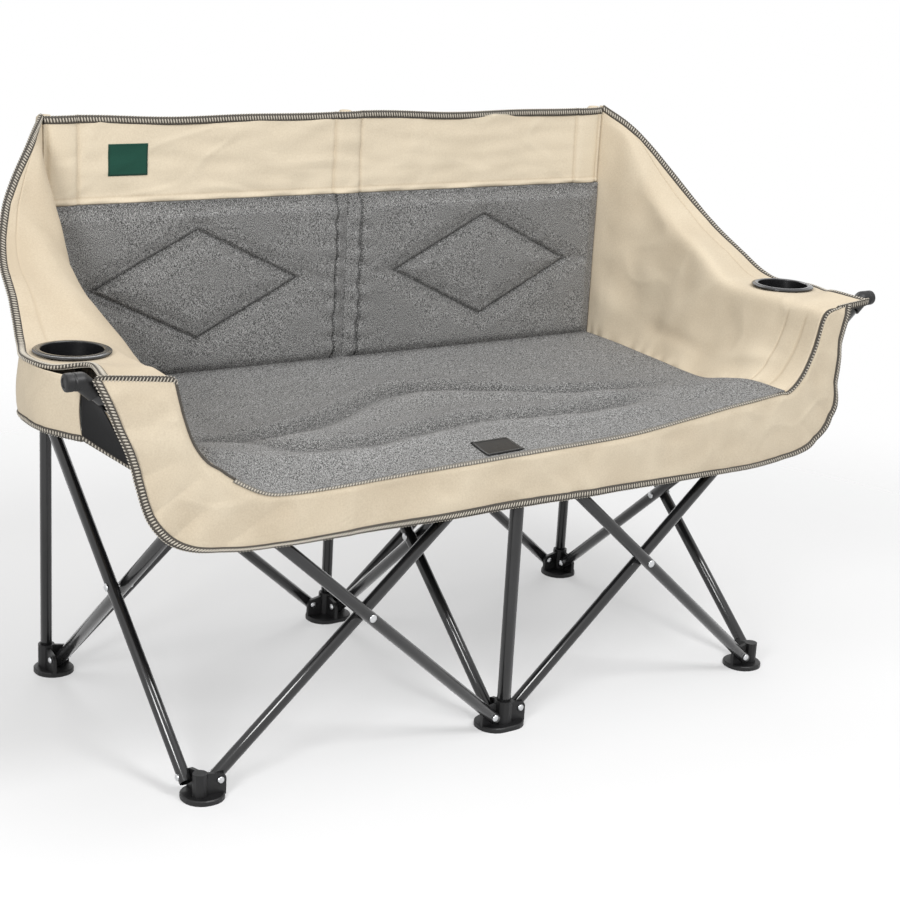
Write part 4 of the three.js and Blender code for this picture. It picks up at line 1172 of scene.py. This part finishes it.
def buildBand():
    sleeve = band["sleeves"]
    u, v = gridOf(*band["grid"])
    x = mixed(-band["end"], band["end"], u)
    sag = 0.0018 * np.cos(2 * math.pi * x / depth) + 0.0012 * np.sin(x * 23) - 0.003
    z = mixed(bandLow, backTop - band["trimDrop"] + sag, v)
    hem = z - bandLow
    rear = rearY - tubeRadius - band["behind"]
    bulge = sum(np.exp(-((x - post) / sleeve["half"]) ** 4) for post in sleeve["x"])
    seam = sum(bell(x - post - side * sleeve["seam"], 0.0028) for post in sleeve["x"] for side in sideWords)
    front = rear - band["thickness"] - sleeve["rise"] * bulge + sleeve["seamDepth"] * seam
    points = np.stack([x, front, z], -1)
    calm = edgeFade(u, v, 0.05)
    rise, scale, seed = band["fineWave"]
    fine = rise * ripple(points * (0.5, 1, 1.6), scale, seed)
    points[..., 1] -= calm * (clothRelief(points, band["waves"]) + fine)
    points[..., 1] -= calm * band["hemPucker"] * bell(hem, 0.03) * np.sin(x * 70 + 2 * np.sin(x * 11))
    folds = crumple(points * (0.6, 1, 1.3), 12.0, 5.0) * calm
    points[..., 1] -= band["folds"] * folds + band["hem"]["rise"] * bell(hem - 0.0045, 0.004)
    # painted shade in the sleeve seams and the hem's seam line, painted light over the whole band and on the crumpled
    # folds
    shade = 0.55 * seam + 0.55 * bell(hem - band["hem"]["seam"], 0.0018) + band["tint"] - 0.1 * folds
    behind = np.stack([x, np.maximum(points[..., 1] + 0.003, rear - 0.0003), z], -1)
    cloth = shell("back_band_cloth", points, behind, "beigeCloth", crease=shade)
    standFor(cloth, "back_top_band", "beige_cloth")
    trims = trimEdge("back_band_edge", points[-1] + (0, 0.0012, 0), (0, 0, -1), (0, -1, 0))
    posts = ["rear_left_post", "rear_center_post", "rear_right_post"]
    sewn = trims + [postSleeve(name) for name in posts]
    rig.sheet(cloth, **flatSize(points), held="stretched", rests_on=posts, with_pieces=sewn)
    carry([cloth, *sewn], "rear_center_leg", gatherAcross())
    buildPatch(points)


def postSleeve(name):
    # a round sleeve behind the band, over a post
    x, y = tubeLine(name)[0][:2]
    r = band["sleeves"]["radius"]
    profile = [(tubeRadius + 0.0004, bandLow), (r - 0.0005, bandLow - 0.0003), (r, bandLow + 0.001),
               (r, backTop - 0.012), (r - 0.0008, backTop - 0.006), (r - 0.0043, backTop - 0.002),
               (0.0, backTop - 0.001)]
    return lathe(name + "_sleeve", profile, (x, y, 0), (0, 0, 1), "beigeCloth", 40)


def buildPatch(cloth):
    # lies on the band's face and follows its larger waves
    low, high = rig.box("back_patch")
    w, h = gridOf(*patch["grid"])
    x = mixed(low.x, high.x, w)
    z = mixed(low.z, high.z, h)
    rows = band["grid"][1]
    column = np.interp(x, cloth[0, :, 0], np.arange(cloth.shape[1])).round().astype(int)
    row = ((z - bandLow) / np.ptp(cloth[:, 0, 2]) * rows).round().astype(int)
    under = cloth[row, column, 1]
    y = np.minimum(mixed(under.mean(), under, 0.4), under) - patch["lift"]
    sewTag("back_patch", patch, np.stack([x, y, z], -1), (0, -1, 0), "rear_center_leg")


buildBand()
print("band ready")

# the front: a skirt under the seat's rim and a panel up to each arm, one surface cut in three; the hem comes
# down from the arm by shares of the overhang, of the height to the arm and of the tuck at its top
front = {
    "skirtBottom": 0.380, "tuck": {-1: -0.013, 1: 0.044}, "panel": 0.56,
    "hem": [(0.75, 0.8, 0.8), (0.64, 0.545, 0.35), (0.58, 0.33, 0), (0.48, 0.19, 0), (0.29, 0.08, 0)],
    "rimShares": (0.9, 0.72, 0.4, 0.0), "columns": (90, 170, 90), "rows": 44, "thickness": 0.0026,
    "fold": 0.0024, "puff": 0.0028, "waves": [(0.0024, 10.0, 8.0), (0.0013, 32.0, 3.0)],
    "folds": (0.0008, 11.0, 7.0), "seam": (0.0072, 0.0042), "plainSeam": (0.0042, 0.0036),
}
seatCorner = float(seatLine(np.array([1.0]))[0, 0])


def innerLine(side):
    # along the wing's front edge down to the seat, then along the seat's rim to the middle
    x = np.array(front["rimShares"]) * seatCorner
    rim = np.stack([x, np.full(len(x), frontFace), rimHeight(side * x)], 1)
    edge = wingFronts[side]
    return spline(np.vstack([along(np.linspace(0, 1, len(edge)), wing["sewn"][side], edge), rim]))


def hemLine(side):
    tuck = front["tuck"][side]
    bottom = front["skirtBottom"]
    top = outerLine(np.array([1.0]))[0]
    rows = [(top[0] - tuck, top[2])]
    for x, z, share in front["hem"]:
        rows.append((cornerX + x * armOver - share * tuck, mixed(bottom, armHeight, z)))
    rows += [(0.94 * cornerX, mixed(bottom, armHeight, 0.015)), (0.5 * cornerX, bottom), (0, bottom)]
    return spline([(x, frontFace, z) for x, z in rows])


def frontPoints(s, t):
    # s runs from the left arm at 0 over the middle at 1 to the right arm at 2
    share = 1 - np.abs(1 - s)
    isRight = s > 1
    side = np.where(isRight, 1, -1)
    hem, inner = (np.where(isRight[..., None], line(1)(share), line(-1)(share))
                  for line in (hemLine, innerLine))
    inner[..., 2] = mixed(inner[..., 2], rimHeight(side * inner[..., 0]), smooth((share - 0.5) / 0.04))
    points = mixed(inner, hem, t[..., None])
    points[..., 0] *= side
    points[..., 1] = frontFace - 0.0019 - np.abs(front["fold"] * np.sin(7 * math.pi * share) * smooth(t))
    return points


def frontPiece(name, body, anchor, points, normal, shade):
    cloth = thickShell(name + "_cloth", points, normal, front["thickness"], "beigeCloth",
                       normals=normal, crease=shade)
    standFor(cloth, name, "beige_cloth")
    edge = points[-1]
    trims = trimEdge(name + "_edge", edge + (0, -0.0012, 0), (points[-9] - edge) * (1, 0, 1), (0, -1, 0))
    seam = points[0] + (0, -0.0012, 0.0012)
    into = unit(points[3] - points[0])
    out = (0, -1.0, 0.3)
    if name == "arm_front_left":
        up = np.broadcast_to(unit(np.array(out)), seam.shape)
        trims.append(sweep(name + "_seam", seam, into, up, *front["plainSeam"], "bindingCloth"))
    else:
        width, height = front["seam"]
        finish = "paleBinding" if name == "front_skirt" else "bindingCloth"
        trims += trimEdge(name + "_seam", seam, into, out, finish, False, width=width, height=height)
    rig.sheet(cloth, **flatSize(points), held="hung", rests_on=[body], with_pieces=trims)
    carry([cloth, *trims], body, gatherAcross(anchor))


def buildFront():
    cuts = (0.0, front["panel"], 2 - front["panel"], 2.0)
    spans = [np.linspace(a, b, count) for a, b, count in zip(cuts, cuts[1:], front["columns"])]
    line = np.concatenate([spans[0], spans[1][1:], spans[2][1:]])
    s, t = np.meshgrid(line, np.linspace(0, 1, front["rows"]))
    points = frontPoints(s, t)
    calm = smooth(t / 0.14) * smooth(np.minimum(s, 2 - s) / 0.06)
    relief = clothRelief(points, front["waves"], front["folds"])
    points[..., 1] -= calm * (front["puff"] + relief)
    # painted shade in the hollows of the relief and painted light on its crests
    shade = np.clip(-relief * calm / 0.0035, -0.5, 1) * 0.4
    normal = gridNormals(points)
    normal *= -np.sign(normal[..., 1:2])
    first = 0
    parts = (("arm_front_left", "front_left_bracket", -cornerX), ("front_skirt", "front_center_bracket", 0.0),
             ("arm_front_right", "front_right_bracket", cornerX))
    for (name, body, anchor), count in zip(parts, front["columns"]):
        part = slice(first, first + count)
        frontPiece(name, body, anchor, points[:, part], normal[:, part], shade[:, part])
        first += count - 1


buildFront()
print("front ready")

# a blank tag on the seat's front edge
tag = {"size": (0.068, 0.044), "x": -0.044, "fromEdge": 0.004, "lift": 0.0028, "thickness": 0.0012,
       "inset": (0.09, 0.13, 0), "stitch": (0.0022, 0.0008, 0.0007), "finish": "tagFinish",
       "slot": "black_cloth", "thread": "greyThread"}


def buildTag():
    w, h = gridOf(16, 10)
    width, height = tag["size"]
    share = 0.5 + (tag["x"] + (w - 0.5) * width) / (2 * seatCorner)
    face = seatPoints(1 - h * height / depth - tag["fromEdge"], share) + (0, 0, tag["lift"])
    sewTag("seat_tag", tag, face, (0, 0, 1), "seat_front")


buildTag()
print("tag ready")

# stage: a pale floor that fades into white, and soft light from above and the front
stage = {
    "floorReach": 2.4, "floorColor": (0.92, 0.92, 0.925, 1), "fade": (0.95, 2.2), "clearNear": 0.4,
    "roomLight": 0.36,
    "lamps": {
        "key": {"place": (0.55, -1.85, 2.7), "target": (0, 0, 0.5), "size": 1.1, "power": 47},
        "side": {"place": (-2.6, -1.7, 1.6), "target": (0.3, 0, 0.6), "size": 0.95, "power": 49},
        "top": {"place": (0, -0.3, 3.0), "target": (0, 0, 0.5), "size": 1.6, "power": 13},
        "rear": {"place": (0.6, 2.4, 2.8), "target": (0, 0, 0.6), "size": 1.6, "power": 24},
    },
    "camera": {"place": (-1.7106, -2.4398, 1.2488), "turn": (73.89, -3.21, -35.04), "lens": 75.3,
               "sensor": 36},
}
scene = bpy.context.scene


def buildFloor():
    finishes["paleFloor"], tree, shader = newMaterial("paleFloor", Base_Color=stage["floorColor"],
                                                      Roughness=0.8)
    coords = addNode(tree, "ShaderNodeTexCoord", "Object")
    distance = addNode(tree, "ShaderNodeVectorMath", "Value", {"operation": "LENGTH"}, Vector=coords)
    near, far = stage["fade"]
    fade = addNode(tree, "ShaderNodeMapRange", 0, {"interpolation_type": "SMOOTHSTEP"}, Value=distance,
                   From_Min=near, From_Max=far, To_Min=stage["clearNear"])
    clear = addNode(tree, "ShaderNodeBsdfTransparent")
    blend = addNode(tree, "ShaderNodeMixShader", firstSockets=(fade, Sock(tree, shader.outputs[0]), clear))
    feed(tree, tree.nodes["Material Output"].inputs["Surface"], blend)
    r = stage["floorReach"]
    corners = [(-r, -r, 0), (r, -r, 0), (r, r, 0), (-r, r, 0)]
    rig.stage(addObject("floor", polyMesh("floor", corners, [(0, 1, 2, 3)]), "paleFloor"))


def buildWorld():
    # white to the camera and in reflections, and a dimmer room as light
    world = bpy.data.worlds.new("studio")
    scene.world = world
    world.use_nodes = True
    tree = world.node_tree
    tree.nodes.clear()
    room, white = (addNode(tree, "ShaderNodeBackground", Color=(1, 1, 1, 1), Strength=strength)
                   for strength in (stage["roomLight"], 1.0))
    seen = addNode(tree, "ShaderNodeLightPath", "Is Camera Ray")
    for ray in ("Is Glossy Ray", "Is Transmission Ray"):
        seen = seen.math("MAXIMUM", addNode(tree, "ShaderNodeLightPath", ray))
    choose = addNode(tree, "ShaderNodeMixShader", firstSockets=(seen, room, white))
    addNode(tree, "ShaderNodeOutputWorld", Surface=choose)


def addLamp(name, place, target, size, power):
    data = bpy.data.lights.new(name, "AREA")
    data.shape = "DISK"
    data.size = size
    data.energy = power
    lamp = bpy.data.objects.new(name, data)
    lamp.location = place
    lamp.rotation_euler = (Vector(target) - Vector(place)).to_track_quat("-Z", "Y").to_euler()
    scene.collection.objects.link(lamp)


buildFloor()
buildWorld()
for name, lamp in stage["lamps"].items():
    addLamp(name, **lamp)

view = stage["camera"]
camera = bpy.data.objects.new("camera", bpy.data.cameras.new("camera"))
scene.collection.objects.link(camera)
scene.camera = camera
camera.location = view["place"]
camera.rotation_euler = [math.radians(angle) for angle in view["turn"]]
camera.data.sensor_width = view["sensor"]
camera.data.lens = view["lens"]
camera.data.clip_end = 200
scene.view_settings.view_transform = "Standard"
print("stage ready")

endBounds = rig.bounds()
with open("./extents.json", "w") as out:
    json.dump({"start": [list(v) for v in startBounds], "end": [list(v) for v in endBounds]}, out)
print("scene done", [round(v, 4) for v in endBounds[0]], [round(v, 4) for v in endBounds[1]])
